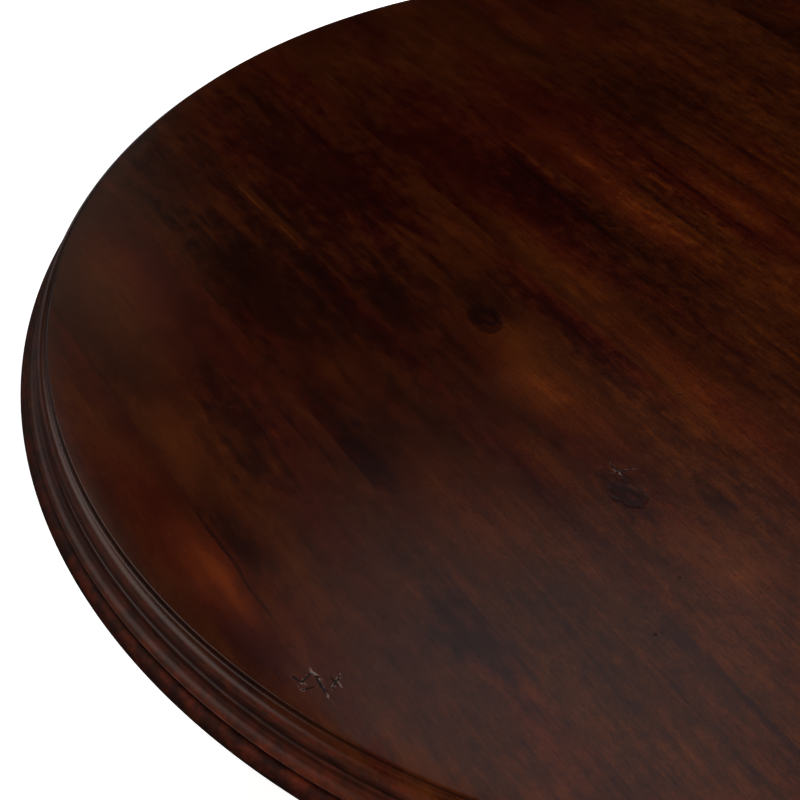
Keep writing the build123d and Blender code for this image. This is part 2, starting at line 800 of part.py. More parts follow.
def along_legs(radius, height):
    """Places at every leg whose local Z axis points away from the column."""
    return [place * Location((0, 0, 0), (0, 90, 0)) for place in around_legs(radius, height)]


build_rings(
    "leg_bolt_washers",
    BOLT_WASHER_RADIUS,
    BOLT_RADIUS + BOLT_GAP,
    BOLT_WASHER_THICKNESS,
    along_legs(bolt_head_end, bolt_level),
)
build_rings(
    "leg_inserts",
    LEG_INSERT_RADIUS,
    BOLT_RADIUS + RUNNING_GAP,
    LEG_INSERT_LENGTH,
    along_legs(HUB_FLAT, bolt_level),
)

# Iron plate under the hub and its screws
with BuildPart() as spider_plate:
    with BuildSketch(Plane.XY.offset(HUB_BOTTOM - SPIDER_THICKNESS)):
        Circle(SPIDER_DISC_RADIUS)
        with Locations(*[Location((0, 0, 0), (0, 0, a)) for a in leg_angles]):
            SlotCenterToCenter(2 * (SPIDER_REACH - SPIDER_ARM_WIDTH / 2), SPIDER_ARM_WIDTH)
        Circle(STUD_RADIUS + SCREW_GAP, mode=Mode.SUBTRACT)
    extrude(amount=SPIDER_THICKNESS)
    for radius in (SPIDER_HUB_SCREW, *SPIDER_LEG_SCREWS):
        with Locations(*around_legs(radius, HUB_BOTTOM - SPIDER_THICKNESS)):
            add(spider_screw_hole, mode=Mode.SUBTRACT)
save(spider_plate.part, "spider_plate")

with BuildPart() as spider_screws:
    for radius in (SPIDER_HUB_SCREW, *SPIDER_LEG_SCREWS):
        with Locations(*around_legs(radius, HUB_BOTTOM - SPIDER_THICKNESS)):
            add(spider_screw)
save(spider_screws.part, "spider_screws")

# Turned drop, held by a stud through the plate
drop_top = HUB_BOTTOM - SPIDER_THICKNESS
drop_neck_top = drop_top - DROP_PLATE
drop_ball_top = drop_neck_top - DROP_NECK_HEIGHT
drop_bottom = drop_ball_top - DROP_BALL_HEIGHT

with BuildPart() as drop_finial:
    with BuildSketch(Plane.XZ):
        with BuildLine():
            Line((0, drop_top), (DROP_RADIUS, drop_top))
            ThreePointArc(
                (DROP_RADIUS, drop_top),
                (DROP_RADIUS + DROP_PLATE / 3, drop_top - DROP_PLATE / 2),
                (DROP_RADIUS, drop_neck_top),
            )
            Spline(
                (DROP_RADIUS, drop_neck_top),
                (DROP_NECK_RADIUS, drop_ball_top),
                tangents=((-1, 0), (-0.2, -1)),
            )
            Spline(
                (DROP_NECK_RADIUS, drop_ball_top),
                (DROP_BALL_RADIUS, drop_ball_top - DROP_BALL_HEIGHT / 3),
                (0, drop_bottom),
                tangents=((1, -0.3), (-1, 0)),
            )
            Line((0, drop_bottom), (0, drop_top))
        make_face()
    revolve(axis=Axis.Z)
    with Locations((0, 0, drop_top)):
        Cylinder(
            STUD_RADIUS + SCREW_GAP,
            STUD_IN_DROP + SCREW_GAP,
            align=(Align.CENTER, Align.CENTER, Align.MAX),
            mode=Mode.SUBTRACT,
        )
save(drop_finial.part, "drop_finial")

with BuildPart() as drop_stud:
    with Locations((0, 0, drop_top - STUD_IN_DROP)):
        Cylinder(
            STUD_RADIUS,
            STUD_IN_DROP + SPIDER_THICKNESS + STUD_NUT_HEIGHT + STUD_THREAD_SHOW,
            align=(Align.CENTER, Align.CENTER, Align.MIN),
        )
save(drop_stud.part, "drop_stud")
build_nuts("drop_nut", STUD_NUT_ACROSS, STUD_RADIUS + RUNNING_GAP, STUD_NUT_HEIGHT, [(0, 0, HUB_BOTTOM)])

# Threaded inserts in the feet
with BuildPart() as foot_inserts:
    with Locations(*around_legs(FOOT_REACH, FOOT_HEIGHT)):
        Cylinder(
            FOOT_INSERT_FLANGE_RADIUS,
            FOOT_INSERT_FLANGE,
            align=(Align.CENTER, Align.CENTER, Align.MIN),
        )
        Cylinder(
            FOOT_INSERT_RADIUS,
            FOOT_INSERT_LENGTH,
            align=(Align.CENTER, Align.CENTER, Align.MIN),
        )
        Cylinder(
            STEM_RADIUS + RUNNING_GAP,
            FOOT_INSERT_LENGTH,
            align=(Align.CENTER, Align.CENTER, Align.MIN),
            mode=Mode.SUBTRACT,
        )
save(foot_inserts.part, "foot_inserts")

# Levelling glides: a threaded stem with a hexagon collar, turning in a round pad
collar_nut_top = FOOT_HEIGHT - COLLAR_NUT_GAP
collar_nut_bottom = collar_nut_top - COLLAR_NUT_HEIGHT
pad_top = collar_nut_bottom - RUNNING_GAP
stem_bottom = pad_top - STEM_IN_PAD

with BuildPart() as glide_stem:
    with Locations((0, 0, stem_bottom)):
        Cylinder(
            STEM_RADIUS,
            FOOT_HEIGHT + STEM_ABOVE_FOOT - stem_bottom,
            align=(Align.CENTER, Align.CENTER, Align.MIN),
        )
    with BuildSketch(Plane.XY.offset(collar_nut_bottom)):
        RegularPolygon(COLLAR_NUT_ACROSS / 2, 6, major_radius=False)
    extrude(amount=COLLAR_NUT_HEIGHT)

with BuildPart() as glide_pad:
    with BuildSketch(Plane.XZ):
        with BuildLine():
            Polyline((0, pad_top), (0, 0), (PAD_RADIUS, 0), (PAD_RADIUS, PAD_RIM_HEIGHT))
            Spline(
                (PAD_RADIUS, PAD_RIM_HEIGHT),
                (PAD_TOP_RADIUS, pad_top),
                tangents=((-1, 0.25), (-1, 0.6)),
            )
            Line((PAD_TOP_RADIUS, pad_top), (0, pad_top))
        make_face()
    revolve(axis=Axis.Z)
    with Locations((0, 0, stem_bottom - RUNNING_GAP)):
        Cylinder(
            STEM_RADIUS + RUNNING_GAP,
            pad_top - stem_bottom + RUNNING_GAP,
            align=(Align.CENTER, Align.CENTER, Align.MIN),
            mode=Mode.SUBTRACT,
        )

for number, place in enumerate(around_legs(FOOT_REACH), start=1):
    with BuildPart() as placed_stem:
        with Locations(place):
            add(glide_stem.part)
    save(placed_stem.part, f"glide_stem_{number}")
    with BuildPart() as placed_pad:
        with Locations(place):
            add(glide_pad.part)
    save(placed_pad.part, f"glide_pad_{number}")
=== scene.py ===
"""Looks of the round pedestal table: worn dark wood, small hardware, a pale floor and soft light.

Metres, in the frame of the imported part: +Z up, the floor at Z = 0 and the boards along X.
"""

import logging
import math
from dataclasses import dataclass
from enum import Enum
from typing import Optional, Union

import bpy
from mathutils import Matrix, Vector

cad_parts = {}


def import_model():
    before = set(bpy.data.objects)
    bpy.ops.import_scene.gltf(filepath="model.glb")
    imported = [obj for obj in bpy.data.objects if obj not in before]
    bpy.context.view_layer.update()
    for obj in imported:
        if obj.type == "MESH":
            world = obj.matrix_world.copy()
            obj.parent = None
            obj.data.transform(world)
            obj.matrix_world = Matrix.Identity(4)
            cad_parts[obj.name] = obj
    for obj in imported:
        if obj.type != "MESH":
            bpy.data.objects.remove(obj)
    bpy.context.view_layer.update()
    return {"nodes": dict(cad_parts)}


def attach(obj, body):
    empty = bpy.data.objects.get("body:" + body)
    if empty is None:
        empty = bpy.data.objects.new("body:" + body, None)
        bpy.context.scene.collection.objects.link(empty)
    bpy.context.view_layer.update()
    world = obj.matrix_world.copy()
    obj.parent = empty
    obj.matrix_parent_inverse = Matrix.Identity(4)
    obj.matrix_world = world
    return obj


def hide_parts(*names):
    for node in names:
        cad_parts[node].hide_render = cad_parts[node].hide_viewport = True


LOG = logging.getLogger("pedestal_table")

Point = tuple[float, float, float]
Colour = tuple[float, float, float]
Section = tuple[float, float]
Socket = bpy.types.NodeSocket
Number = Union[Socket, float]

TABLE_BODY = "table"
WHITE = (1.0, 1.0, 1.0)


class GrainRun(Enum):
    """How the fibres of a wooden piece run."""

    STRAIGHT = "along the local X axis"
    ROUND = "around the middle of the table"


@dataclass(frozen=True)
class Noise:
    """A noise that is stretched on each axis.

    Attributes:
        scale: Features per metre on each axis.
        detail: Octaves of detail.
        roughness: Strength of the fine octaves.
        distortion: How far the pattern is warped.
    """

    scale: Point
    detail: float = 3.0
    roughness: float = 0.55
    distortion: float = 0.0


class NodeTree:
    """A small builder for the nodes of a material or a world."""

    def __init__(self, tree: bpy.types.NodeTree) -> None:
        """Takes up an existing tree.

        Args:
            tree: The tree that gets the nodes.
        """
        self.nodes = tree.nodes
        self.links = tree.links

    def link(self, source: object, target: object) -> None:
        """Joins two sockets, or sets a value on the target.

        Args:
            source: A socket, or a plain value for the target.
            target: The input socket.
        """
        if isinstance(source, Socket):
            self.links.new(source, target)
        else:
            target.default_value = source

    def math(self, operation: str, a: Number, b: Number = 0.0, c: Number = 0.0) -> Socket:
        """Works out one number.

        Args:
            operation: The name of the maths operation.
            a: First operand, a socket or a number.
            b: Second operand.
            c: Third operand.

        Returns:
            The result's socket.
        """
        node = self.nodes.new("ShaderNodeMath")
        node.operation = operation
        for value, socket in zip((a, b, c), node.inputs):
            self.link(value, socket)
        return node.outputs[0]

    def spread(self, noise: Socket, share: float, base: Number) -> Socket:
        """Adds a noise to a value, with the noise's middle leaving the value as it is.

        Args:
            noise: The noise, from 0 to 1.
            share: Full width of what is added.
            base: The value.

        Returns:
            The new value's socket.
        """
        return self.math("MULTIPLY_ADD", noise, share, self.math("SUBTRACT", base, share / 2))

    def mapping(
        self,
        vector: Socket,
        scale: Point = (1, 1, 1),
        location: Point = (0, 0, 0),
        rotation: Point = (0, 0, 0),
    ) -> Socket:
        """Scales, turns and shifts a vector.

        Args:
            vector: The vector's socket.
            scale: Scale on each axis.
            location: Shift after the turn.
            rotation: Euler angles in radians.

        Returns:
            The new vector's socket.
        """
        node = self.nodes.new("ShaderNodeMapping")
        self.link(vector, node.inputs["Vector"])
        node.inputs["Scale"].default_value = scale
        node.inputs["Location"].default_value = location
        node.inputs["Rotation"].default_value = rotation
        return node.outputs["Vector"]

    def noise(self, vector: Socket, pattern: Noise) -> Socket:
        """Gives a noise value.

        Args:
            vector: Where to read the noise.
            pattern: The noise to read.

        Returns:
            The value's socket.
        """
        node = self.nodes.new("ShaderNodeTexNoise")
        self.link(self.mapping(vector, scale=pattern.scale), node.inputs["Vector"])
        node.inputs["Scale"].default_value = 1.0
        node.inputs["Detail"].default_value = pattern.detail
        node.inputs["Roughness"].default_value = pattern.roughness
        node.inputs["Distortion"].default_value = pattern.distortion
        return node.outputs[0]

    def map_range(
        self,
        value: Number,
        low: float,
        high: float,
        to_low: float = 0.0,
        to_high: float = 1.0,
        interpolation: str = "LINEAR",
    ) -> Socket:
        """Maps a value from one range to another.

        Args:
            value: The value's socket.
            low: Start of the range read.
            high: End of the range read.
            to_low: Result at the start.
            to_high: Result at the end.
            interpolation: How the result runs between them.

        Returns:
            The result's socket.
        """
        node = self.nodes.new("ShaderNodeMapRange")
        node.interpolation_type = interpolation
        self.link(value, node.inputs["Value"])
        ends = (("From Min", low), ("From Max", high), ("To Min", to_low), ("To Max", to_high))
        for name, number in ends:
            node.inputs[name].default_value = number
        return node.outputs["Result"]

    def smooth_range(
        self, value: Number, low: float, high: float, to_low: float = 0.0, to_high: float = 1.0
    ) -> Socket:
        """Maps a value smoothly from one range to another.

        Args:
            value: The value's socket.
            low: Start of the range read.
            high: End of the range read.
            to_low: Result at the start.
            to_high: Result at the end.

        Returns:
            The result's socket.
        """
        return self.map_range(value, low, high, to_low, to_high, "SMOOTHSTEP")

    def ramp(self, value: Socket, stops: list[tuple[float, Colour]]) -> Socket:
        """Turns a value into a colour.

        Args:
            value: The value's socket.
            stops: Places from 0 to 1 with their colours.

        Returns:
            The colour's socket.
        """
        node = self.nodes.new("ShaderNodeValToRGB")
        elements = node.color_ramp.elements
        while len(elements) < len(stops):
            elements.new(0.5)
        for element, (place, colour) in zip(elements, stops):
            element.position = place
            element.color = (*colour, 1.0)
        self.link(value, node.inputs["Fac"])
        return node.outputs["Color"]

    def mix(
        self, factor: object, first: object, second: object, blend: str = "MIX"
    ) -> Socket:
        """Mixes two colours.

        Args:
            factor: Share of the second colour.
            first: A colour socket or a colour.
            second: A colour socket or a colour.
            blend: The blend mode.

        Returns:
            The mixed colour's socket.
        """
        node = self.nodes.new("ShaderNodeMix")
        node.data_type = "RGBA"
        node.blend_type = blend
        self.link(factor, node.inputs["Factor"])
        for value, socket in ((first, node.inputs[6]), (second, node.inputs[7])):
            if isinstance(value, tuple):
                value = (*value, 1.0)
            self.link(value, socket)
        return node.outputs[2]

    def separate(self, vector: Socket) -> list[Socket]:
        """Splits a vector.

        Args:
            vector: The vector's socket.

        Returns:
            The three sockets of its parts.
        """
        node = self.nodes.new("ShaderNodeSeparateXYZ")
        self.link(vector, node.inputs[0])
        return list(node.outputs)

    def combine(self, x: Number, y: Number, z: Number) -> Socket:
        """Joins three numbers to a vector.

        Args:
            x: First part.
            y: Second part.
            z: Third part.

        Returns:
            The vector's socket.
        """
        node = self.nodes.new("ShaderNodeCombineXYZ")
        for value, socket in zip((x, y, z), node.inputs):
            self.link(value, socket)
        return node.outputs[0]

    def cells(self, vector: Socket, scale: float) -> tuple[Socket, Socket]:
        """Scatters points.

        Args:
            vector: Where to read the pattern.
            scale: Points per metre.

        Returns:
            The distance to the nearest point, and a number that each point has for itself.
        """
        node = self.nodes.new("ShaderNodeTexVoronoi")
        self.link(vector, node.inputs["Vector"])
        node.inputs["Scale"].default_value = scale
        return node.outputs["Distance"], self.separate(node.outputs["Color"])[0]

    def local(self, vector: Socket, centre: Point, size: Point, turn: float) -> Socket:
        """Gives a point's place in the frame of a patch.

        Args:
            vector: The point.
            centre: Middle of the patch.
            size: Half sizes of the patch, which become 1.
            turn: Turn of the patch about Z, in radians.

        Returns:
            The place in the patch's frame.
        """
        node = self.nodes.new("ShaderNodeMapping")
        node.vector_type = "TEXTURE"
        self.link(vector, node.inputs["Vector"])
        node.inputs["Location"].default_value = centre
        node.inputs["Rotation"].default_value = (0.0, 0.0, turn)
        node.inputs["Scale"].default_value = size
        return node.outputs["Vector"]

    def length(self, vector: Socket) -> Socket:
        """Measures a vector.

        Args:
            vector: The vector's socket.

        Returns:
            The socket of its length.
        """
        node = self.nodes.new("ShaderNodeVectorMath")
        node.operation = "LENGTH"
        self.link(vector, node.inputs[0])
        return node.outputs["Value"]

    def bent(self, vector: Socket, scale: Point, reach: float) -> Socket:
        """Shifts a vector by a noise, so that outlines drawn with it wander.

        Args:
            vector: The vector's socket.
            scale: Features per metre on each axis.
            reach: Full width of the shift, in metres.

        Returns:
            The shifted vector's socket.
        """
        noise = self.nodes.new("ShaderNodeTexNoise")
        self.link(self.mapping(vector, scale=scale), noise.inputs["Vector"])
        noise.inputs["Scale"].default_value = 1.0
        noise.inputs["Detail"].default_value = 3.0
        shift = self.nodes.new("ShaderNodeVectorMath")
        shift.operation = "MULTIPLY_ADD"
        self.link(noise.outputs["Color"], shift.inputs[0])
        shift.inputs[1].default_value = (reach, reach, reach)
        shift.inputs[2].default_value = (-reach / 2, -reach / 2, -reach / 2)
        total = self.nodes.new("ShaderNodeVectorMath")
        total.operation = "ADD"
        self.link(vector, total.inputs[0])
        self.link(shift.outputs[0], total.inputs[1])
        return total.outputs[0]

    def light_path(self) -> bpy.types.NodeOutputs:
        """Gives the outputs that tell which kind of ray sees a surface."""
        return self.nodes.new("ShaderNodeLightPath").outputs

    def emission(self, strength: Number) -> Socket:
        """Makes a white glow.

        Args:
            strength: Strength of the glow; 1 is white.

        Returns:
            The shader's socket.
        """
        node = self.nodes.new("ShaderNodeEmission")
        self.link(strength, node.inputs["Strength"])
        return node.outputs[0]

    def add_shaders(self, first: Socket, second: Socket) -> Socket:
        """Adds the light of two shaders.

        Args:
            first: One shader.
            second: The other shader.

        Returns:
            The shader's socket.
        """
        node = self.nodes.new("ShaderNodeAddShader")
        self.link(first, node.inputs[0])
        self.link(second, node.inputs[1])
        return node.outputs[0]

    def mix_shaders(self, factor: Number, first: Socket, second: Socket) -> Socket:
        """Mixes two shaders.

        Args:
            factor: Share of the second shader.
            first: One shader.
            second: The other shader.

        Returns:
            The shader's socket.
        """
        node = self.nodes.new("ShaderNodeMixShader")
        for value, socket in zip((factor, first, second), node.inputs):
            self.link(value, socket)
        return node.outputs[0]


class ShaderTree(NodeTree):
    """The nodes of one material with a single principled shader."""

    def __init__(self, name: str) -> None:
        """Starts the material.

        Args:
            name: The material's name.
        """
        self.material = bpy.data.materials.new(name)
        self.material.use_nodes = True
        super().__init__(self.material.node_tree)
        self.shader = self.nodes["Principled BSDF"]
        self.output = self.nodes["Material Output"]

    def object_coordinates(self) -> Socket:
        """Gives the point's place in the part's frame."""
        return self.nodes.new("ShaderNodeTexCoord").outputs["Object"]

    def bump(self, height: Socket, distance: float, strength: float = 1.0) -> None:
        """Gives the shader a bumped normal.

        Args:
            height: The height's socket.
            distance: Height of one unit, in metres.
            strength: Strength of the effect.
        """
        node = self.nodes.new("ShaderNodeBump")
        node.inputs["Distance"].default_value = distance
        node.inputs["Strength"].default_value = strength
        self.link(height, node.inputs["Height"])
        self.link(node.outputs["Normal"], self.shader.inputs["Normal"])


FLAT = 1000.0


@dataclass(frozen=True)
class Mark:
    """A long patch on the top that is lighter or darker than the wood around it.

    Attributes:
        x: Place along the boards.
        y: Place across the boards.
        length: Length along the boards.
        width: Width across the boards.
        lift: How much lighter it is; a dark patch is below zero. On a gouge it is the strength
        of the painted glints on its lips.
        angle: Turn of the patch about Z, in degrees.
        warmth: How much yellower it is; a redder patch is below zero.
    """

    x: float
    y: float
    length: float
    width: float
    lift: float
    angle: float = 0.0
    warmth: float = 0.0

    def distance(self, tree: ShaderTree, place: Socket) -> Socket:
        """Measures how far a point is from the middle of the mark.

        Args:
            tree: The material's nodes.
            place: The point.

        Returns:
            The distance, which is 1 on the mark's outline.
        """
        size = (self.length / 2, self.width / 2, FLAT)
        return tree.length(tree.local(place, (self.x, self.y, 0.0), size, math.radians(self.angle)))


@dataclass(frozen=True)
class Stain:
    """The two families of colour in the stained wood, each from dark to light.

    Attributes:
        places: Places of the colours on the way from dark to light.
        red: The cooler, redder colours.
        gold: The warmer, yellower colours.
    """

    places: tuple[float, ...]
    red: tuple[Colour, ...]
    gold: tuple[Colour, ...]


DARK_STAIN = Stain(
    (0.0, 0.25, 0.5, 0.75, 1.0),
    (
        (0.0090, 0.0005, 0.0002),
        (0.0190, 0.0012, 0.0004),
        (0.0380, 0.0040, 0.0008),
        (0.0640, 0.0088, 0.0013),
        (0.1150, 0.0190, 0.0026),
    ),
    (
        (0.0086, 0.0010, 0.0002),
        (0.0180, 0.0026, 0.0004),
        (0.0370, 0.0066, 0.0008),
        (0.0650, 0.0130, 0.0013),
        (0.1200, 0.0265, 0.0028),
    ),
)


BROAD = Noise((2.2, 10.0, 10.0), 5.0, 0.6, 0.7)
FIGURE = Noise((7.0, 46.0, 46.0), 7.0, 0.7, 0.6)
CLOUD = Noise((6.5, 9.0, 9.0), 5.0, 0.65)
MOTTLE = Noise((60.0, 100.0, 100.0), 4.0, 0.65)
FIBRE = Noise((16.0, 300.0, 300.0), 4.0, 0.6)
STIPPLE = Noise((240.0, 520.0, 520.0), 2.0)
WARMTH = Noise((3.0, 14.0, 14.0), 4.0, 0.6)
PORES = Noise((60.0, 620.0, 620.0), 2.0)
DENTS = Noise((38.0, 38.0, 38.0), 2.0)
RUB = Noise((64.0, 64.0, 120.0), 5.0, 0.7)

ROUND_GRAIN_RADIUS = 0.58
SEED_STEPS = (3.7, 1.9, 2.3)
BASE_LIGHTNESS = 0.42
FINE_FADE = (-0.42, 0.0, 0.45, 2.0)
WARM_RANGE = (0.30, 0.56)
FINE_SHARES = (0.30, 0.29, 0.25)
TONE_SHARES = (0.6, 0.75, 0.75, 0.2)
PATCH_BEND = ((9.0, 30.0, 30.0), 0.034)
PATCH_OUTLINE = (1.15, 0.2)
RAGGED_FIGURE = 1.6
RAGGED_MOTTLE = 1.2
LINE_BEND = ((20.0, 60.0, 60.0), 0.005)
LINE_OUTLINE = (1.0, 0.4)
LINE_BREAKS = (0.38, 0.55)
KNOT_BEND = ((90.0, 90.0, 90.0), 0.020)
KNOT_OUTLINE = (1.25, 0.9)
KNOT_SHADE = (0.1, 0.85, 0.6, 1.0)
KNOT_RINGS = 9.0
RING_CONTRAST = 0.15
KNOT_DEPTH = 0.5
SPECKS_PER_METRE = 34.0
SPECK_OUTLINE = (0.055, 0.025)
SPECK_CHOICE = 0.72
SPECK_STRENGTH = 0.7
PORE_RANGE = (0.60, 0.74)
PORE_STRENGTH = 0.18
# Painted highlight: pale dots along the gouges' lips stand in for glints of light.
GLINT_OUTLINE = (2.8, 1.4)
GLINT_DOTS = (0.50, 0.60)
GROOVE_OUTLINE = (1.6, 0.8)
RUB_RANGE = (0.38, 0.70)
WEAR_STRENGTH = 0.7
CLOUD_ROUGHNESS = 0.12
PORE_ROUGHNESS = 0.03
DENT_HEIGHT = 0.8
FIBRE_HEIGHT = 0.14
STIPPLE_HEIGHT = 0.15
PORE_DEPTH = 0.05
WEAR_START = 0.005
WEAR_FULL = 0.009
WEAR_ROUGHNESS = 0.16
VARNISH_IOR = 1.46
RELIEF_HEIGHT = 0.0003
RELIEF_STRENGTH = 0.6

SPECK_COLOUR = (0.004, 0.0006, 0.0003)
PORE_COLOUR = (0.005, 0.0006, 0.0003)
# Colour of the painted glints on the gouges' lips.
GLINT_COLOUR = (0.24, 0.18, 0.15)
GROOVE_COLOUR = (0.004, 0.0012, 0.0008)
WORN_COLOUR = (0.125, 0.0165, 0.0036)


class WoodSurface:
    """The layers of one wooden surface, built up from the grain to the relief."""

    def __init__(self, finish: "WoodFinish") -> None:
        """Reads the noises that several layers share.

        Args:
            finish: The finish to build.
        """
        tree = ShaderTree(finish.name)
        self.finish = finish
        self.tree = tree
        self.point = tree.object_coordinates()
        self.x, self.y, self.z = tree.separate(self.point)
        self.radius = tree.length(tree.combine(self.x, self.y, 0.0))
        self.place = self.grain_place()
        self.figure = tree.noise(self.place, FIGURE)
        self.cloud = tree.noise(self.place, CLOUD)
        self.mottle = tree.noise(self.place, MOTTLE)
        self.fibre = tree.noise(self.place, FIBRE)
        self.stipple = tree.noise(self.place, STIPPLE)
        self.pore = tree.smooth_range(tree.noise(self.place, PORES), *PORE_RANGE)
        self.edge = self.edge_mask()
        self.depth: Number = 0.0

    def grain_place(self) -> Socket:
        """Turns the point so that the fibres run along X.

        Returns:
            The place in the grain's frame.
        """
        tree = self.tree
        place = self.point
        if self.finish.run is GrainRun.ROUND:
            angle = tree.math("ARCTAN2", self.y, self.x)
            place = tree.combine(tree.math("MULTIPLY", angle, ROUND_GRAIN_RADIUS), self.radius, self.z)
        place = tree.mapping(place, rotation=(0.0, 0.0, -self.finish.heading))
        shift = tuple(self.finish.seed * step for step in SEED_STEPS)
        return tree.mapping(place, location=shift, rotation=self.finish.turn)

    def edge_mask(self) -> Optional[Socket]:
        """Finds the moulded edge.

        Returns:
            1 on the worn edge and 0 elsewhere, or nothing on a piece without that edge.
        """
        inner = self.finish.edge_radius
        if not inner:
            return None
        return self.tree.smooth_range(self.radius, inner + WEAR_START, inner + WEAR_FULL)

    def lightness(self) -> Socket:
        """Gives the lightness of the plain wood, from 0 to 1.

        Returns:
            The lightness.
        """
        tree = self.tree
        fine: Number = 0.0
        for noise, share in zip((self.mottle, self.fibre, self.stipple), FINE_SHARES):
            fine = tree.spread(noise, share, fine)
        if self.edge is not None:
            diagonal = tree.math("ADD", self.x, self.y)
            fine = tree.math("MULTIPLY", fine, tree.smooth_range(diagonal, *FINE_FADE))
        value = tree.math("ADD", fine, BASE_LIGHTNESS + self.finish.tone)
        broad = tree.noise(self.place, BROAD)
        for noise, share in zip((broad, self.figure, self.cloud, self.mottle), TONE_SHARES):
            value = tree.spread(noise, share, value)
        return value

    def with_patches(self, value: Socket, warmth: Socket) -> tuple[Socket, Socket]:
        """Adds the light and dark patches.

        Args:
            value: Lightness of the wood.
            warmth: Warmth of the wood.

        Returns:
            The new lightness and warmth.
        """
        tree = self.tree
        ragged = tree.spread(self.figure, RAGGED_FIGURE, tree.spread(self.mottle, RAGGED_MOTTLE, 0.0))
        bent = tree.bent(self.point, *PATCH_BEND)
        for patch in self.finish.patches:
            outline = tree.math("ADD", patch.distance(tree, bent), ragged)
            near = tree.smooth_range(outline, *PATCH_OUTLINE)
            value = tree.math("MULTIPLY_ADD", near, patch.lift, value)
            warmth = tree.math("MULTIPLY_ADD", near, patch.warmth, warmth)
        return value, warmth

    def with_lines(self, value: Socket) -> Socket:
        """Adds the thin broken lines.

        Args:
            value: Lightness of the wood.

        Returns:
            The new lightness.
        """
        tree = self.tree
        thin = tree.bent(self.point, *LINE_BEND)
        broken = tree.smooth_range(self.mottle, *LINE_BREAKS)
        for line in self.finish.lines:
            near = tree.smooth_range(line.distance(tree, thin), *LINE_OUTLINE)
            value = tree.math("MULTIPLY_ADD", tree.math("MULTIPLY", near, broken), line.lift, value)
        return value

    def with_knots(self, value: Socket) -> Socket:
        """Adds the knots, which also sink into the surface.

        Args:
            value: Lightness of the wood.

        Returns:
            The new lightness.
        """
        tree = self.tree
        swirl = tree.bent(self.point, *KNOT_BEND)
        for knot in self.finish.knots:
            far = knot.distance(tree, swirl)
            core = tree.smooth_range(far, *KNOT_OUTLINE)
            wave = tree.math("SINE", tree.math("MULTIPLY", far, KNOT_RINGS))
            rings = tree.math("MULTIPLY", wave, RING_CONTRAST)
            dark = tree.smooth_range(far, *KNOT_SHADE)
            shade = tree.math("MULTIPLY_ADD", dark, knot.lift, rings)
            value = tree.math("MULTIPLY_ADD", core, shade, value)
            self.sink(tree.math("MULTIPLY", core, KNOT_DEPTH))
        return value

    def sink(self, depth: Socket) -> None:
        """Sinks a part of the surface.

        Args:
            depth: How deep it lies, from 0 to 1.
        """
        self.depth = self.tree.math("MAXIMUM", self.depth, depth)

    def stained(self, value: Socket, warmth: Socket) -> Socket:
        """Turns lightness and warmth into the stain's colour.

        Args:
            value: Lightness of the wood.
            warmth: Warmth of the wood.

        Returns:
            The colour.
        """
        stain = self.finish.stain
        reds = self.tree.ramp(value, list(zip(stain.places, stain.red)))
        golds = self.tree.ramp(value, list(zip(stain.places, stain.gold)))
        return self.tree.mix(self.tree.smooth_range(warmth, *WARM_RANGE), reds, golds)

    def with_specks(self, colour: Socket) -> Socket:
        """Adds dark specks and open pores.

        Args:
            colour: The colour so far.

        Returns:
            The new colour.
        """
        tree = self.tree
        cell, pick = tree.cells(self.point, SPECKS_PER_METRE)
        dot = tree.smooth_range(cell, *SPECK_OUTLINE)
        speck = tree.math("MULTIPLY", dot, tree.math("GREATER_THAN", pick, SPECK_CHOICE))
        colour = tree.mix(tree.math("MULTIPLY", speck, SPECK_STRENGTH), colour, SPECK_COLOUR)
        self.sink(speck)
        return tree.mix(tree.math("MULTIPLY", self.pore, PORE_STRENGTH), colour, PORE_COLOUR)

    def with_scratches(self, colour: Socket) -> Socket:
        """Adds the gouges, with painted glints dotted along their lips.

        Args:
            colour: The colour so far.

        Returns:
            The new colour.
        """
        tree = self.tree
        for scratch in self.finish.scratches:
            far = scratch.distance(tree, self.point)
            # Painted highlight: pale dots along each lip stand in for glints of light.
            glint_dots = tree.smooth_range(self.stipple, *GLINT_DOTS)
            glint = tree.math("MULTIPLY", tree.smooth_range(far, *GLINT_OUTLINE), glint_dots)
            colour = tree.mix(tree.math("MULTIPLY", glint, scratch.lift), colour, GLINT_COLOUR)
            groove = tree.smooth_range(far, *GROOVE_OUTLINE)
            colour = tree.mix(groove, colour, GROOVE_COLOUR)
            self.sink(groove)
        return colour

    def with_wear(self, colour: Socket) -> Socket:
        """Rubs the stain off the moulded edge.

        Args:
            colour: The colour so far.

        Returns:
            The new colour.
        """
        if self.edge is None:
            return colour
        tree = self.tree
        rub = tree.smooth_range(tree.noise(self.place, RUB), *RUB_RANGE)
        worn = tree.math("MULTIPLY", self.edge, rub)
        return tree.mix(tree.math("MULTIPLY", worn, WEAR_STRENGTH), colour, WORN_COLOUR)

    def gloss(self) -> Socket:
        """Gives the roughness, which is higher in pores and on the worn edge.

        Returns:
            The roughness.
        """
        tree = self.tree
        rough = tree.spread(self.cloud, CLOUD_ROUGHNESS, self.finish.roughness)
        rough = tree.math("MULTIPLY_ADD", self.pore, PORE_ROUGHNESS, rough)
        if self.edge is not None:
            rough = tree.math("MULTIPLY_ADD", self.edge, WEAR_ROUGHNESS, rough)
        return rough

    def relief(self) -> Socket:
        """Gives the height of the surface.

        Returns:
            The height, in units of the relief.
        """
        tree = self.tree
        dents = tree.math("MULTIPLY", tree.noise(self.point, DENTS), DENT_HEIGHT)
        height = tree.math("MULTIPLY_ADD", self.fibre, FIBRE_HEIGHT, dents)
        height = tree.math("MULTIPLY_ADD", self.stipple, STIPPLE_HEIGHT, height)
        hollows = tree.math("MULTIPLY_ADD", self.pore, PORE_DEPTH, self.depth)
        return tree.math("SUBTRACT", height, hollows)

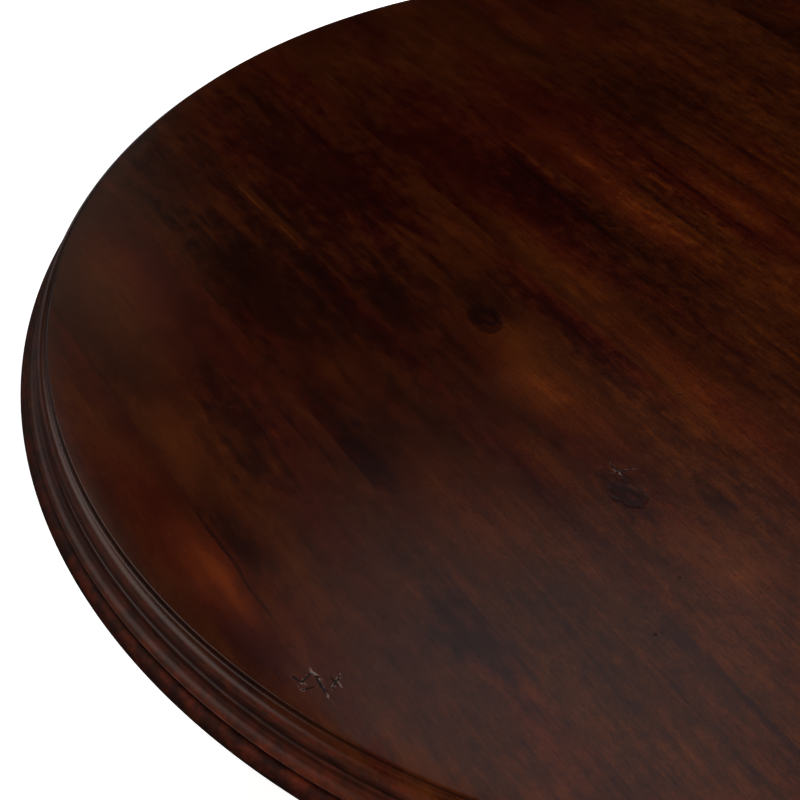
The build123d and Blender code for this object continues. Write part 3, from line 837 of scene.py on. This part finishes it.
    def material(self) -> bpy.types.Material:
        """Puts the layers together.

        Returns:
            The material.
        """
        tree = self.tree
        value, warmth = self.with_patches(self.lightness(), tree.noise(self.place, WARMTH))
        value = self.with_knots(self.with_lines(value))
        colour = self.with_specks(self.stained(value, warmth))
        colour = self.with_wear(self.with_scratches(colour))
        tree.link(colour, tree.shader.inputs["Base Color"])
        tree.link(self.gloss(), tree.shader.inputs["Roughness"])
        tree.shader.inputs["IOR"].default_value = VARNISH_IOR
        tree.shader.inputs["Specular IOR Level"].default_value = self.finish.polish
        tree.bump(self.relief(), RELIEF_HEIGHT, RELIEF_STRENGTH)
        return tree.material


@dataclass(frozen=True)
class WoodFinish:
    """Dark stained wood with streaks, pores, dents and a satin surface.

    Attributes:
        name: The material's name.
        stain: Colours of the stained wood.
        run: How the fibres run.
        heading: Direction of the fibres in plan, in radians.
        turn: Further turn of the grain, as Euler angles in radians.
        seed: Picks another stretch of the pattern.
        tone: Lightens or darkens the whole piece.
        edge_radius: Radius beyond which the moulded edge is worn, or 0 for none.
        roughness: Middle roughness of the surface.
        polish: How strongly the surface shines; a full polish is 0.5.
        patches: Light and dark patches with ragged outlines.
        lines: Thin broken lines along the grain.
        knots: Knots with dark rings.
        scratches: Short gouges with painted glints dotted along their lips.
    """

    name: str
    stain: Stain = DARK_STAIN
    run: GrainRun = GrainRun.STRAIGHT
    heading: float = 0.0
    turn: Point = (0, 0, 0)
    seed: float = 0.0
    tone: float = 0.0
    edge_radius: float = 0.0
    roughness: float = 0.25
    polish: float = 0.5
    patches: tuple[Mark, ...] = ()
    lines: tuple[Mark, ...] = ()
    knots: tuple[Mark, ...] = ()
    scratches: tuple[Mark, ...] = ()

    def material(self) -> bpy.types.Material:
        """Builds the node material."""
        return WoodSurface(self).material()


TARNISH = Noise((60.0, 60.0, 60.0), 4.0)
BRUSHED = Noise((900.0, 900.0, 60.0), 2.0)
MOULDED_GRAIN = Noise((1500.0, 1500.0, 1500.0), 2.0)
DUST = Noise((80.0, 80.0, 80.0), 3.0)
TARNISH_RANGE = (0.42, 0.66)
TARNISH_ROUGHNESS = 0.25
CLEAN_POLISH = 0.12
BRUSH_HEIGHT = 0.00008
DUST_RANGE = (0.5, 0.75)
DUST_ROUGHNESS = 0.2
GRAIN_HEIGHT = 0.00005
HARDWARE_RELIEF = 0.5


@dataclass(frozen=True)
class MetalFinish:
    """Plain hardware metal with brushed and stained patches.

    Attributes:
        name: The material's name.
        bright: Colour of the clean metal.
        dull: Colour of the tarnished patches.
        roughness: Middle roughness of the surface.
    """

    name: str
    bright: Colour
    dull: Colour
    roughness: float

    def material(self) -> bpy.types.Material:
        """Builds the node material.

        Returns:
            The material.
        """
        tree = ShaderTree(self.name)
        place = tree.object_coordinates()
        patches = tree.noise(place, TARNISH)
        lines = tree.noise(place, BRUSHED)
        colour = tree.mix(tree.smooth_range(patches, *TARNISH_RANGE), self.bright, self.dull)
        tree.link(colour, tree.shader.inputs["Base Color"])
        rough = tree.math("MULTIPLY_ADD", patches, TARNISH_ROUGHNESS, self.roughness - CLEAN_POLISH)
        tree.link(rough, tree.shader.inputs["Roughness"])
        tree.shader.inputs["Metallic"].default_value = 1.0
        tree.bump(lines, BRUSH_HEIGHT, HARDWARE_RELIEF)
        return tree.material


@dataclass(frozen=True)
class PlasticFinish:
    """Matt moulded plastic with a fine texture.

    Attributes:
        name: The material's name.
        colour: Main colour.
        roughness: Middle roughness of the surface.
    """

    name: str
    colour: Colour
    roughness: float

    def material(self) -> bpy.types.Material:
        """Builds the node material.

        Returns:
            The material.
        """
        tree = ShaderTree(self.name)
        place = tree.object_coordinates()
        grain = tree.noise(place, MOULDED_GRAIN)
        dust = tree.noise(place, DUST)
        pale = tuple(min(1.0, part * 2.2 + 0.01) for part in self.colour)
        colour = tree.mix(tree.smooth_range(dust, *DUST_RANGE), self.colour, pale)
        tree.link(colour, tree.shader.inputs["Base Color"])
        tree.link(tree.spread(dust, DUST_ROUGHNESS, self.roughness), tree.shader.inputs["Roughness"])
        tree.bump(grain, GRAIN_HEIGHT, HARDWARE_RELIEF)
        return tree.material


PATCHES = (
    Mark(0.050, -0.538, 0.300, 0.060, 0.16, warmth=-0.14),
    Mark(0.092, -0.534, 0.150, 0.034, 0.30, warmth=-0.10),
    Mark(0.062, -0.506, 0.120, 0.022, -0.16),
    Mark(-0.250, -0.462, 0.240, 0.100, 0.28),
    Mark(-0.060, -0.500, 0.110, 0.040, 0.14),
    Mark(-0.040, -0.450, 0.170, 0.066, -0.26),
    Mark(0.235, -0.405, 0.140, 0.060, -0.26),
    Mark(-0.210, -0.350, 0.300, 0.110, -0.18),
    Mark(-0.380, -0.345, 0.260, 0.120, -0.20, warmth=-0.12),
    Mark(-0.055, -0.355, 0.110, 0.050, 0.18),
    Mark(0.190, -0.318, 0.150, 0.050, 0.20),
    Mark(-0.140, -0.305, 0.300, 0.050, -0.20),
    Mark(0.030, -0.384, 0.140, 0.036, -0.28),
    Mark(0.115, -0.350, 0.170, 0.090, 0.22),
    Mark(-0.330, -0.225, 0.400, 0.150, -0.26, warmth=-0.20),
    Mark(-0.110, -0.265, 0.130, 0.036, -0.24),
    Mark(-0.130, -0.235, 0.120, 0.060, -0.14),
    Mark(0.120, -0.275, 0.150, 0.040, 0.24),
    Mark(0.205, -0.188, 0.080, 0.035, -0.24),
    Mark(-0.020, -0.205, 0.080, 0.050, 0.16),
    Mark(-0.075, -0.195, 0.080, 0.060, -0.18),
    Mark(0.048, -0.221, 0.200, 0.066, 0.34),
    Mark(0.255, -0.222, 0.130, 0.070, 0.22),
    Mark(0.178, -0.247, 0.090, 0.044, -0.18),
    Mark(0.000, -0.163, 0.240, 0.030, -0.26),
    Mark(-0.090, -0.116, 0.340, 0.050, 0.14),
    Mark(-0.290, -0.090, 0.420, 0.150, -0.14, warmth=-0.32),
    Mark(0.140, -0.122, 0.260, 0.060, 0.28),
    Mark(-0.150, -0.070, 0.360, 0.060, -0.16),
    Mark(-0.080, -0.010, 0.180, 0.036, 0.20),
    Mark(-0.180, 0.010, 0.300, 0.030, 0.14),
    Mark(-0.075, 0.074, 0.200, 0.040, 0.22),
    Mark(0.030, 0.020, 0.260, 0.080, 0.12),
    Mark(-0.060, 0.085, 0.200, 0.030, 0.15),
    Mark(-0.110, 0.125, 0.260, 0.070, 0.18, warmth=-0.10),
    Mark(-0.200, 0.035, 0.520, 0.150, 0.0, warmth=-0.18),
    Mark(0.155, -0.545, 0.090, 0.046, -0.24),
)
LINES = (
    Mark(-0.290, -0.2980, 0.280, 0.0034, 0.28, 1.5),
    Mark(-0.250, -0.2865, 0.300, 0.0080, -0.18),
    Mark(-0.160, -0.050, 0.300, 0.010, -0.26),
    Mark(-0.200, -0.037, 0.260, 0.008, 0.18),
    Mark(-0.100, 0.004, 0.330, 0.014, 0.20),
    Mark(-0.090, 0.024, 0.300, 0.012, -0.34),
    Mark(-0.110, 0.046, 0.330, 0.014, 0.24),
    Mark(-0.090, 0.062, 0.240, 0.010, -0.30),
    Mark(-0.120, 0.108, 0.260, 0.010, -0.28),
    Mark(-0.130, 0.150, 0.240, 0.012, -0.26),
    Mark(-0.020, -0.1615, 0.300, 0.008, -0.24),
    Mark(0.080, -0.5185, 0.200, 0.004, -0.30),
)
KNOTS = (Mark(-0.050, -0.214, 0.034, 0.024, -0.42), Mark(0.176, -0.2425, 0.030, 0.020, -0.36))
SCRATCHES = (
    Mark(0.1919, -0.5289, 0.0077, 0.0013, 0.5, 20.0),
    Mark(0.1944, -0.5233, 0.0100, 0.0013, 0.5, 110.0),
    Mark(0.1953, -0.5175, 0.0057, 0.0013, 0.6, 24.0),
    Mark(0.2043, -0.5178, 0.0143, 0.0016, 0.6, -3.0),
    Mark(0.2021, -0.5265, 0.0073, 0.0012, 0.5, 77.0),
    Mark(0.2062, -0.5088, 0.0066, 0.0012, 0.6, 13.0),
    Mark(0.2074, -0.5084, 0.0086, 0.0012, 0.5, 123.0),
    Mark(0.1491, -0.2343, 0.0086, 0.0012, 0.6, -1.0),
    Mark(0.1550, -0.2299, 0.0094, 0.0013, 0.3, 71.0),
)


def select_only(piece: bpy.types.Object) -> None:
    """Makes one object the only selected and the active one.

    Args:
        piece: The object.
    """
    bpy.ops.object.select_all(action="DESELECT")
    piece.select_set(True)
    bpy.context.view_layer.objects.active = piece


def smooth(piece: bpy.types.Object, degrees: float = 32.0) -> None:
    """Shades an object smoothly where its faces meet at a small angle.

    Args:
        piece: The object.
        degrees: Largest angle that is shaded smoothly.
    """
    select_only(piece)
    bpy.ops.object.shade_smooth_by_angle(angle=math.radians(degrees))


def dress(piece: bpy.types.Object, material: bpy.types.Material) -> None:
    """Gives an object one material.

    Args:
        piece: The object.
        material: The material.
    """
    piece.data.materials.clear()
    piece.data.materials.append(material)


def dress_nodes(
    nodes: dict[str, bpy.types.Object], finishes: dict[str, bpy.types.Material]
) -> list[bpy.types.Object]:
    """Smooths and dresses CAD nodes.

    Args:
        nodes: The CAD nodes by name.
        finishes: The material of each node.

    Returns:
        The dressed nodes.
    """
    for name, material in finishes.items():
        smooth(nodes[name])
        dress(nodes[name], material)
    return [nodes[name] for name in finishes]


@dataclass(frozen=True)
class Lamp:
    """An area lamp, placed with the camera looking along +Y.

    Attributes:
        name: The lamp's name.
        place: Where it hangs.
        target: The point it faces.
        size: Width and height, in metres.
        power: Power in watts.
        colour: Colour of its light.
    """

    name: str
    place: Point
    target: Point
    size: tuple[float, float]
    power: float
    colour: Colour = WHITE


LAMPS = (
    Lamp("key_lamp", (0.9, -1.4, 2.0), (0.0, 0.0, 0.7), (1.2, 1.2), 51.0),
    Lamp("side_lamp", (-1.8, 0.1, 2.2), (-0.45, -0.15, 0.75), (2.4, 0.8), 10.5, (1.0, 0.86, 0.80)),
    Lamp("far_lamp", (0.105, 0.68, 2.6), (0.1, -0.3, 0.76), (1.17, 0.98), 2.2),
    Lamp("left_lamp", (-1.24, 1.84, 2.0), (-0.5, 0.0, 0.76), (0.7, 0.7), 0.32, (1.0, 0.97, 0.8)),
    Lamp("low_front_lamp", (1.9, -1.0, 0.42), (0.0, 0.0, 0.36), (1.2, 0.5), 26.0),
    Lamp("low_back_lamp", (0.5, 2.1, 0.42), (0.0, 0.0, 0.36), (1.2, 0.5), 20.0),
)


@dataclass
class Studio:
    """Camera, floor and lights.

    Attributes:
        azimuth: Turn of the camera about the table, in degrees.
        sensor: Width of the camera's sensor, in millimetres.
        lens: Focal length, in millimetres.
        camera_place: Where the camera stands before the turn.
        camera_tilt: Angle of the camera from straight down, in degrees.
        floor_size: Side of the floor.
        floor_colour: Colour of the floor.
        floor_roughness: Roughness of the floor.
        floor_polish: How strongly the floor shines.
        near_glow: Distances from the middle, and the glow of the floor at them.
        far_glow: Distances farther out, and the glow added at them.
        mirror_reach: Distances over which the floor fades in reflections.
        mirror_dim: Glow of the far floor in reflections.
        ambient_colour: Colour of the room's own light.
        ambient: Strength of the room's own light.
        horizon: Height of the white band in reflections, as a share of straight up.
    """

    azimuth: float = 58.0
    sensor: float = 36.0
    lens: float = 63.0
    camera_place: Point = (-0.2800, -0.9929, 1.5017)
    camera_tilt: float = 47.9
    floor_size: float = 30.0
    floor_colour: Colour = (0.8, 0.8, 0.79)
    floor_roughness: float = 0.9
    floor_polish: float = 0.1
    near_glow: tuple[float, float, float, float] = (0.30, 0.85, 0.70, 0.95)
    far_glow: tuple[float, float, float, float] = (1.0, 4.0, 0.0, 0.05)
    mirror_reach: tuple[float, float] = (0.55, 0.80)
    mirror_dim: float = 0.04
    ambient_colour: Colour = (1.0, 0.98, 0.95)
    ambient: float = 0.002
    horizon: float = 0.08

    def turned(self, point: Point) -> Point:
        """Turns a point from the camera's side into the part's frame.

        Args:
            point: A point with the camera looking along +Y.

        Returns:
            The point in the part's frame.
        """
        angle = math.radians(self.azimuth)
        x, y, z = point
        along = x * math.cos(angle) - y * math.sin(angle)
        across = x * math.sin(angle) + y * math.cos(angle)
        return (along, across, z)

    def build(self) -> None:
        """Makes the camera, the floor, the world and the lamps."""
        bpy.context.scene.view_settings.view_transform = "Standard"
        self.add_camera()
        self.add_floor()
        self.add_world()
        for lamp in LAMPS:
            self.add_lamp(lamp)

    def add_camera(self) -> None:
        """Makes the camera."""
        data = bpy.data.cameras.new("camera")
        data.sensor_width = self.sensor
        data.lens = self.lens
        camera = bpy.data.objects.new("camera", data)
        bpy.context.collection.objects.link(camera)
        camera.location = self.turned(self.camera_place)
        camera.rotation_euler = (math.radians(self.camera_tilt), 0.0, math.radians(self.azimuth))
        bpy.context.scene.camera = camera

    def add_lamp(self, lamp: Lamp) -> None:
        """Hangs an area lamp.

        Args:
            lamp: The lamp.
        """
        data = bpy.data.lights.new(lamp.name, "AREA")
        data.shape = "RECTANGLE"
        data.size, data.size_y = lamp.size
        data.energy = lamp.power
        data.color = lamp.colour
        light = bpy.data.objects.new(lamp.name, data)
        bpy.context.collection.objects.link(light)
        light.location = self.turned(lamp.place)
        aim = Vector(self.turned(lamp.target)) - light.location
        light.rotation_euler = aim.to_track_quat("-Z", "Y").to_euler()

    def add_floor(self) -> None:
        """Makes the pale floor.

        It is white to the camera and in metal near the feet, and keeps the table's shadow. Farther out it is
        dim in reflections, as in a dim room, so that the polished edge stays dark.
        """
        bpy.ops.mesh.primitive_plane_add(size=self.floor_size)
        floor = bpy.context.active_object
        floor.name = "floor"
        tree = ShaderTree("pale_floor")
        tree.shader.inputs["Base Color"].default_value = (*self.floor_colour, 1.0)
        tree.shader.inputs["Roughness"].default_value = self.floor_roughness
        tree.shader.inputs["Specular IOR Level"].default_value = self.floor_polish
        away = tree.length(tree.object_coordinates())
        path = tree.light_path()
        seen = tree.math("ADD", path["Is Camera Ray"], path["Is Glossy Ray"])
        seen = tree.math("MINIMUM", tree.math("ADD", seen, path["Is Transmission Ray"]), 1.0)
        near = tree.smooth_range(away, *self.near_glow)
        white = tree.math("ADD", near, tree.smooth_range(away, *self.far_glow))
        glow = tree.emission(tree.math("MULTIPLY", white, seen))
        lit = tree.add_shaders(tree.shader.outputs[0], glow)
        far = tree.smooth_range(away, *self.mirror_reach)
        mirrored = tree.math("MULTIPLY", path["Is Glossy Ray"], far)
        surface = tree.mix_shaders(mirrored, lit, tree.emission(self.mirror_dim))
        tree.link(surface, tree.output.inputs["Surface"])
        dress(floor, tree.material)

    def add_world(self) -> None:
        """Makes a dim room that the camera sees as white, as metal does along the horizon."""
        world = bpy.data.worlds.new("studio")
        bpy.context.scene.world = world
        world.use_nodes = True
        tree = NodeTree(world.node_tree)
        room = tree.nodes["Background"]
        room.inputs["Color"].default_value = (*self.ambient_colour, 1.0)
        room.inputs["Strength"].default_value = self.ambient
        white = tree.nodes.new("ShaderNodeBackground")
        white.inputs["Color"].default_value = (*WHITE, 1.0)
        direction = tree.nodes.new("ShaderNodeTexCoord").outputs["Generated"]
        horizon = tree.map_range(tree.separate(direction)[2], self.horizon, 0.0)
        path = tree.light_path()
        mirrored = tree.math("MULTIPLY_ADD", path["Is Glossy Ray"], horizon, path["Is Transmission Ray"])
        seen = tree.math("MAXIMUM", path["Is Camera Ray"], mirrored)
        surface = tree.mix_shaders(seen, room.outputs[0], white.outputs[0])
        tree.link(surface, tree.nodes["World Output"].inputs["Surface"])


MERGE_DISTANCE = 1e-6


def arc(start: Section, end: Section, sagitta: float, steps: int) -> list[Section]:
    """Gives points on a round stretch of a section, without its start.

    Args:
        start: First point, as radius and height.
        end: Last point.
        sagitta: How far the stretch bulges to the left of the way from start to end.
        steps: Number of points.

    Returns:
        The points, the last of which is the end.
    """
    run = end[0] - start[0]
    rise = end[1] - start[1]
    chord = math.hypot(run, rise)
    half = chord / 2
    radius = (half * half + sagitta * sagitta) / (2 * sagitta)
    across = (-rise / chord, run / chord)
    middle = ((start[0] + end[0]) / 2, (start[1] + end[1]) / 2)
    centre = tuple(m + a * (sagitta - radius) for m, a in zip(middle, across))
    first = math.atan2(start[1] - centre[1], start[0] - centre[0])
    last = math.atan2(end[1] - centre[1], end[0] - centre[0])
    sweep = (last - first + math.pi) % (2 * math.pi) - math.pi
    size = abs(radius)
    angles = [first + sweep * k / steps for k in range(1, steps + 1)]
    return [(centre[0] + size * math.cos(a), centre[1] + size * math.sin(a)) for a in angles]


def spin(name: str, section: list[Section], start: float, sweep: float, steps: int) -> bpy.types.Object:
    """Turns a closed section about the middle of the table.

    Args:
        name: The new object's name.
        section: Corners as radius and height.
        start: Angle where the turn starts, in degrees.
        sweep: Angle of the turn, in degrees.
        steps: Number of steps.

    Returns:
        The new object.
    """
    bpy.ops.object.select_all(action="DESELECT")
    bpy.ops.mesh.primitive_circle_add(vertices=len(section))
    piece = bpy.context.active_object
    piece.name = name
    angle = math.radians(start)
    for vertex, (radius, height) in zip(piece.data.vertices, section):
        vertex.co = (radius * math.cos(angle), radius * math.sin(angle), height)
    bpy.ops.object.mode_set(mode="EDIT")
    bpy.ops.mesh.select_all(action="SELECT")
    bpy.ops.mesh.spin(steps=steps, angle=math.radians(sweep), center=(0, 0, 0), axis=(0, 0, 1))
    bpy.ops.mesh.select_all(action="SELECT")
    bpy.ops.mesh.remove_doubles(threshold=MERGE_DISTANCE)
    bpy.ops.mesh.delete_loose()
    bpy.ops.mesh.select_all(action="SELECT")
    bpy.ops.mesh.fill_holes(sides=0)
    bpy.ops.mesh.select_all(action="SELECT")
    bpy.ops.mesh.normals_make_consistent(inside=False)
    bpy.ops.object.mode_set(mode="OBJECT")
    return piece


@dataclass
class MouldedTop:
    """The boards of the top with the round and the hollow of the moulded edge.

    Attributes:
        field_radius: Radius of the flat field.
        height: Height of the table.
        thickness: Thickness of the boards.
        parts: Shares of the field's width that the boards take.
        tones: How much lighter each board is.
        arris: Radius of the rubbed corner at the edge of the field.
        inset: Width of the flat ring next to the edge.
        overlap: How far the outer boards are cut beyond the field.
        smooth_angle: Largest angle that is shaded smoothly, in degrees.
        steps: Steps of the turn.
    """

    field_radius: float = 0.581
    height: float = 0.762
    thickness: float = 0.034
    parts: tuple[int, ...] = (62, 122, 106, 147, 118, 124, 123, 122, 123, 115)
    tones: tuple[float, ...] = (0.03, 0.03, -0.03, 0.0, 0.0, 0.02, -0.02, 0.02, 0.0, 0.02)
    arris: float = 0.0011
    inset: float = 0.02
    overlap: float = 0.05
    smooth_angle: float = 24.0
    steps: int = 360

    def at(self, out: float, down: float) -> Section:
        """Gives a point of the moulding.

        Args:
            out: Millimetres outside the flat field.
            down: Millimetres below it.

        Returns:
            The point as radius and height.
        """
        return (self.field_radius + out / 1000, self.height - down / 1000)

    def section(self) -> list[Section]:
        """Gives half of the top's section.

        Returns:
            Its corners from the middle of the top to the middle of the underside.
        """
        at = self.at
        soft = self.arris * 1000
        inner = self.field_radius - self.inset
        under = self.height - self.thickness
        points = [(0.0, self.height), (inner, self.height), at(-soft, 0.0)]
        points += arc(points[-1], at(0.1, soft), 0.3 * soft / 1000, 4)
        points += [at(0.4, 2.8)]
        points += arc(points[-1], at(2.4, 4.9), -0.0006, 4)
        points += arc(points[-1], at(9.4, 18.4), 0.0045, 22)
        points += [at(8.6, 20.8), at(10.1, 21.3)]
        points += arc(points[-1], at(10.5, 21.8), 0.00015, 2)
        points += [at(11.0, 23.5)]
        points += arc(points[-1], at(20.2, 30.3), -0.0023, 14)
        points += arc(points[-1], at(20.8, 31.2), 0.0002, 3)
        points += arc(points[-1], at(18.3, 34.0), 0.0003, 3)
        points += [(inner, under), (0.0, under)]
        return points

    def seams(self) -> list[float]:
        """Works out where the boards meet.

        Returns:
            Places across the boards, the outer edges included.
        """
        share = 2 * self.field_radius / sum(self.parts)
        places = [-self.field_radius]
        for part in self.parts:
            places.append(places[-1] + part * share)
        places[0] -= self.overlap
        places[-1] += self.overlap
        return places

    def build(self) -> list[bpy.types.Object]:
        """Makes one piece for each board.

        Returns:
            The pieces.
        """
        whole = spin("whole_top", self.section(), 0.0, 360.0, self.steps)
        seams = self.seams()
        boards = []
        for number, (low, high) in enumerate(zip(seams, seams[1:]), start=1):
            select_only(whole)
            bpy.ops.object.duplicate()
            board = bpy.context.active_object
            board.name = f"moulded_board_{number}"
            bpy.ops.object.mode_set(mode="EDIT")
            for place, normal in ((low, (0, -1, 0)), (high, (0, 1, 0))):
                bpy.ops.mesh.select_all(action="SELECT")
                bpy.ops.mesh.bisect(plane_co=(0, place, 0), plane_no=normal, use_fill=True, clear_outer=True)
            bpy.ops.mesh.select_all(action="SELECT")
            bpy.ops.mesh.normals_make_consistent(inside=False)
            bpy.ops.object.mode_set(mode="OBJECT")
            smooth(board, self.smooth_angle)
            dress(board, self.finish(number).material())
            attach(board, TABLE_BODY)
            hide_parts(f"top_board_{number}")
            boards.append(board)
        bpy.data.objects.remove(whole, do_unlink=True)
        return boards

    def finish(self, number: int) -> WoodFinish:
        """Chooses the finish of one board.

        Args:
            number: The board's number, from 1.

        Returns:
            The finish.
        """
        low, high = self.seams()[number - 1 : number + 1]
        return WoodFinish(
            f"board_wood_{number}",
            seed=number * 1.7,
            tone=self.tones[number - 1],
            edge_radius=self.field_radius,
            patches=tuple(m for m in PATCHES if low < m.y < high),
            lines=self.reaching(LINES, low, high),
            knots=self.reaching(KNOTS, low, high),
            scratches=self.reaching(SCRATCHES, low, high),
        )

    def reaching(self, marks: tuple[Mark, ...], low: float, high: float) -> tuple[Mark, ...]:
        """Picks the marks that reach a board.

        Args:
            marks: The marks to choose from.
            low: Where the board starts.
            high: Where it ends.

        Returns:
            The marks that lie on it, whole or in part.
        """
        return tuple(m for m in marks if low < m.y + m.width / 2 and m.y - m.width / 2 < high)


@dataclass
class RimRing:
    """The mitred ring that makes the lowest roll of the moulded edge.

    Attributes:
        segments: Number of segments.
        board_radius: Radius of the boards above it.
        top: Height of its upper face.
        thickness: Thickness of the ring.
        width: Width of the ring.
        reach: How far the roll stands out from the boards.
        gap: Depth of the dark gap under the boards.
        gap_width: Width of that gap.
        chamfer: Cut on the inner lower corner.
        under_cut: How far the roll draws in at its lower face.
        worn_radius: Radius beyond which the roll is worn.
        smooth_angle: Largest angle that is shaded smoothly, in degrees.
        steps: Steps of the turn in each segment.
    """

    segments: int = 8
    board_radius: float = 0.6018
    top: float = 0.728
    thickness: float = 0.016
    width: float = 0.090
    reach: float = 0.008
    gap: float = 0.0016
    gap_width: float = 0.005
    chamfer: float = 0.005
    under_cut: float = 0.004
    worn_radius: float = 0.592
    smooth_angle: float = 30.0
    steps: int = 48

    def section(self) -> list[Section]:
        """Gives the ring's section.

        Returns:
            Its corners.
        """
        outer = self.board_radius + self.reach
        inner = outer - self.width
        bottom = self.top - self.thickness
        gap = self.top - self.gap
        step = self.board_radius - self.gap_width
        points = [
            (inner, bottom + self.chamfer),
            (inner, self.top),
            (step, self.top),
            (step, gap),
            (self.board_radius, gap),
        ]
        points += arc(points[-1], (outer, (gap + bottom) / 2), 0.0018, 8)
        points += arc(points[-1], (outer - self.under_cut, bottom), 0.0013, 8)
        points += [(inner + self.chamfer, bottom)]
        return points

    def build(self) -> list[bpy.types.Object]:
        """Makes one segment and turns copies of it round the table.

        Returns:
            The pieces.
        """
        wood = WoodFinish(
            "rim_wood",
            run=GrainRun.ROUND,
            seed=31.0,
            tone=-0.14,
            edge_radius=self.worn_radius,
            roughness=0.42,
            polish=0.22,
        ).material()
        sweep = 360.0 / self.segments
        first = spin("moulded_rim_1", self.section(), 0.0, sweep, self.steps)
        smooth(first, self.smooth_angle)
        pieces = [first]
        for number in range(2, self.segments + 1):
            select_only(first)
            bpy.ops.object.duplicate()
            copy = bpy.context.active_object
            copy.name = f"moulded_rim_{number}"
            copy.data.transform(Matrix.Rotation(math.radians((number - 1) * sweep), 4, "Z"))
            pieces.append(copy)
        for number, piece in enumerate(pieces, start=1):
            dress(piece, wood)
            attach(piece, TABLE_BODY)
            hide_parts(f"rim_segment_{number}")
        return pieces


class Metal(Enum):
    """The metals of the hardware."""

    STEEL = MetalFinish("zinc_steel", (0.46, 0.46, 0.45), (0.24, 0.23, 0.21), 0.38)
    IRON = MetalFinish("black_iron", (0.045, 0.043, 0.042), (0.075, 0.05, 0.035), 0.6)
    BRASS = MetalFinish("brass", (0.55, 0.36, 0.12), (0.28, 0.17, 0.06), 0.36)


@dataclass
class UnderFrame:
    """Bearers, battens and loose tongues that hold the boards together, with their screws.

    Attributes:
        nodes: The CAD nodes by name.
        roughness: Roughness of the unpolished wood.
    """

    nodes: dict[str, bpy.types.Object]
    roughness: float = 0.6

    def build(self) -> list[bpy.types.Object]:
        """Dresses the pieces under the boards.

        Returns:
            The pieces.
        """
        rough = {"tone": 0.1, "roughness": self.roughness}
        along = WoodFinish("long_wood", seed=8.0, **rough).material()
        across = WoodFinish("cross_wood", heading=math.pi / 2, seed=5.0, **rough).material()
        steel = Metal.STEEL.value.material()
        finishes = {"long_bearer": along, "board_splines": along}
        finishes |= {name: across for name in ("cross_bearer", "left_batten", "right_batten")}
        finishes |= {name: steel for name in ("bearer_screws", "batten_screws", "rim_screws")}
        return dress_nodes(self.nodes, finishes)


@dataclass
class Pedestal:
    """The turned column, the curved legs, the drop and the hardware that joins them.

    Attributes:
        nodes: The CAD nodes by name.
        legs: Number of legs.
        first_leg: Angle of the first leg, in degrees.
        leg_slope: Slope of the fibres in a leg, in radians.
    """

    nodes: dict[str, bpy.types.Object]
    legs: int = 4
    first_leg: float = 45.0
    leg_slope: float = 0.54

    def build(self) -> list[bpy.types.Object]:
        """Dresses the pedestal.

        Returns:
            The pieces.
        """
        upright = WoodFinish("turned_wood", turn=(0.0, math.pi / 2, 0.0), seed=17.0).material()
        steel = Metal.STEEL.value.material()
        finishes = {name: upright for name in ("column", "drop_finial", "leg_dowels")}
        for number in range(1, self.legs + 1):
            finishes[f"leg_{number}"] = self.leg_wood(number).material()
        for name in ("tie_rod", "tie_rod_nuts", "tie_rod_washers", "leg_bolts", "leg_bolt_washers"):
            finishes[name] = steel
        for name in ("spider_screws", "drop_stud", "drop_nut"):
            finishes[name] = steel
        finishes["leg_inserts"] = Metal.BRASS.value.material()
        finishes["spider_plate"] = Metal.IRON.value.material()
        return dress_nodes(self.nodes, finishes)

    def leg_wood(self, number: int) -> WoodFinish:
        """Chooses the finish of one leg, with the fibres along it.

        Args:
            number: The leg's number, from 1.

        Returns:
            The finish.
        """
        angle = math.radians(self.first_leg + (number - 1) * 360.0 / self.legs)
        slope = (0.0, -self.leg_slope, 0.0)
        return WoodFinish(f"leg_wood_{number}", heading=angle, turn=slope, seed=number * 2.3)


@dataclass
class Glides:
    """The levelling glides under the feet and the inserts they screw into.

    Attributes:
        nodes: The CAD nodes by name.
        count: Number of glides.
    """

    nodes: dict[str, bpy.types.Object]
    count: int = 4

    def build(self) -> list[bpy.types.Object]:
        """Dresses the glides.

        Returns:
            The pieces.
        """
        steel = Metal.STEEL.value.material()
        plastic = PlasticFinish("dark_pad", (0.02, 0.018, 0.016), 0.6).material()
        finishes = {"foot_inserts": Metal.BRASS.value.material()}
        for number in range(1, self.count + 1):
            finishes[f"glide_stem_{number}"] = steel
            finishes[f"glide_pad_{number}"] = plastic
        return dress_nodes(self.nodes, finishes)


def main() -> None:
    """Builds the scene."""
    logging.basicConfig(level=logging.INFO, format="%(message)s")
    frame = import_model()
    nodes = frame["nodes"]
    Studio().build()
    for assembly in (MouldedTop(), RimRing(), UnderFrame(nodes), Pedestal(nodes), Glides(nodes)):
        for piece in assembly.build():
            LOG.info("%s: %s", type(assembly).__name__, piece.name)


if __name__ == "__main__":
    main()
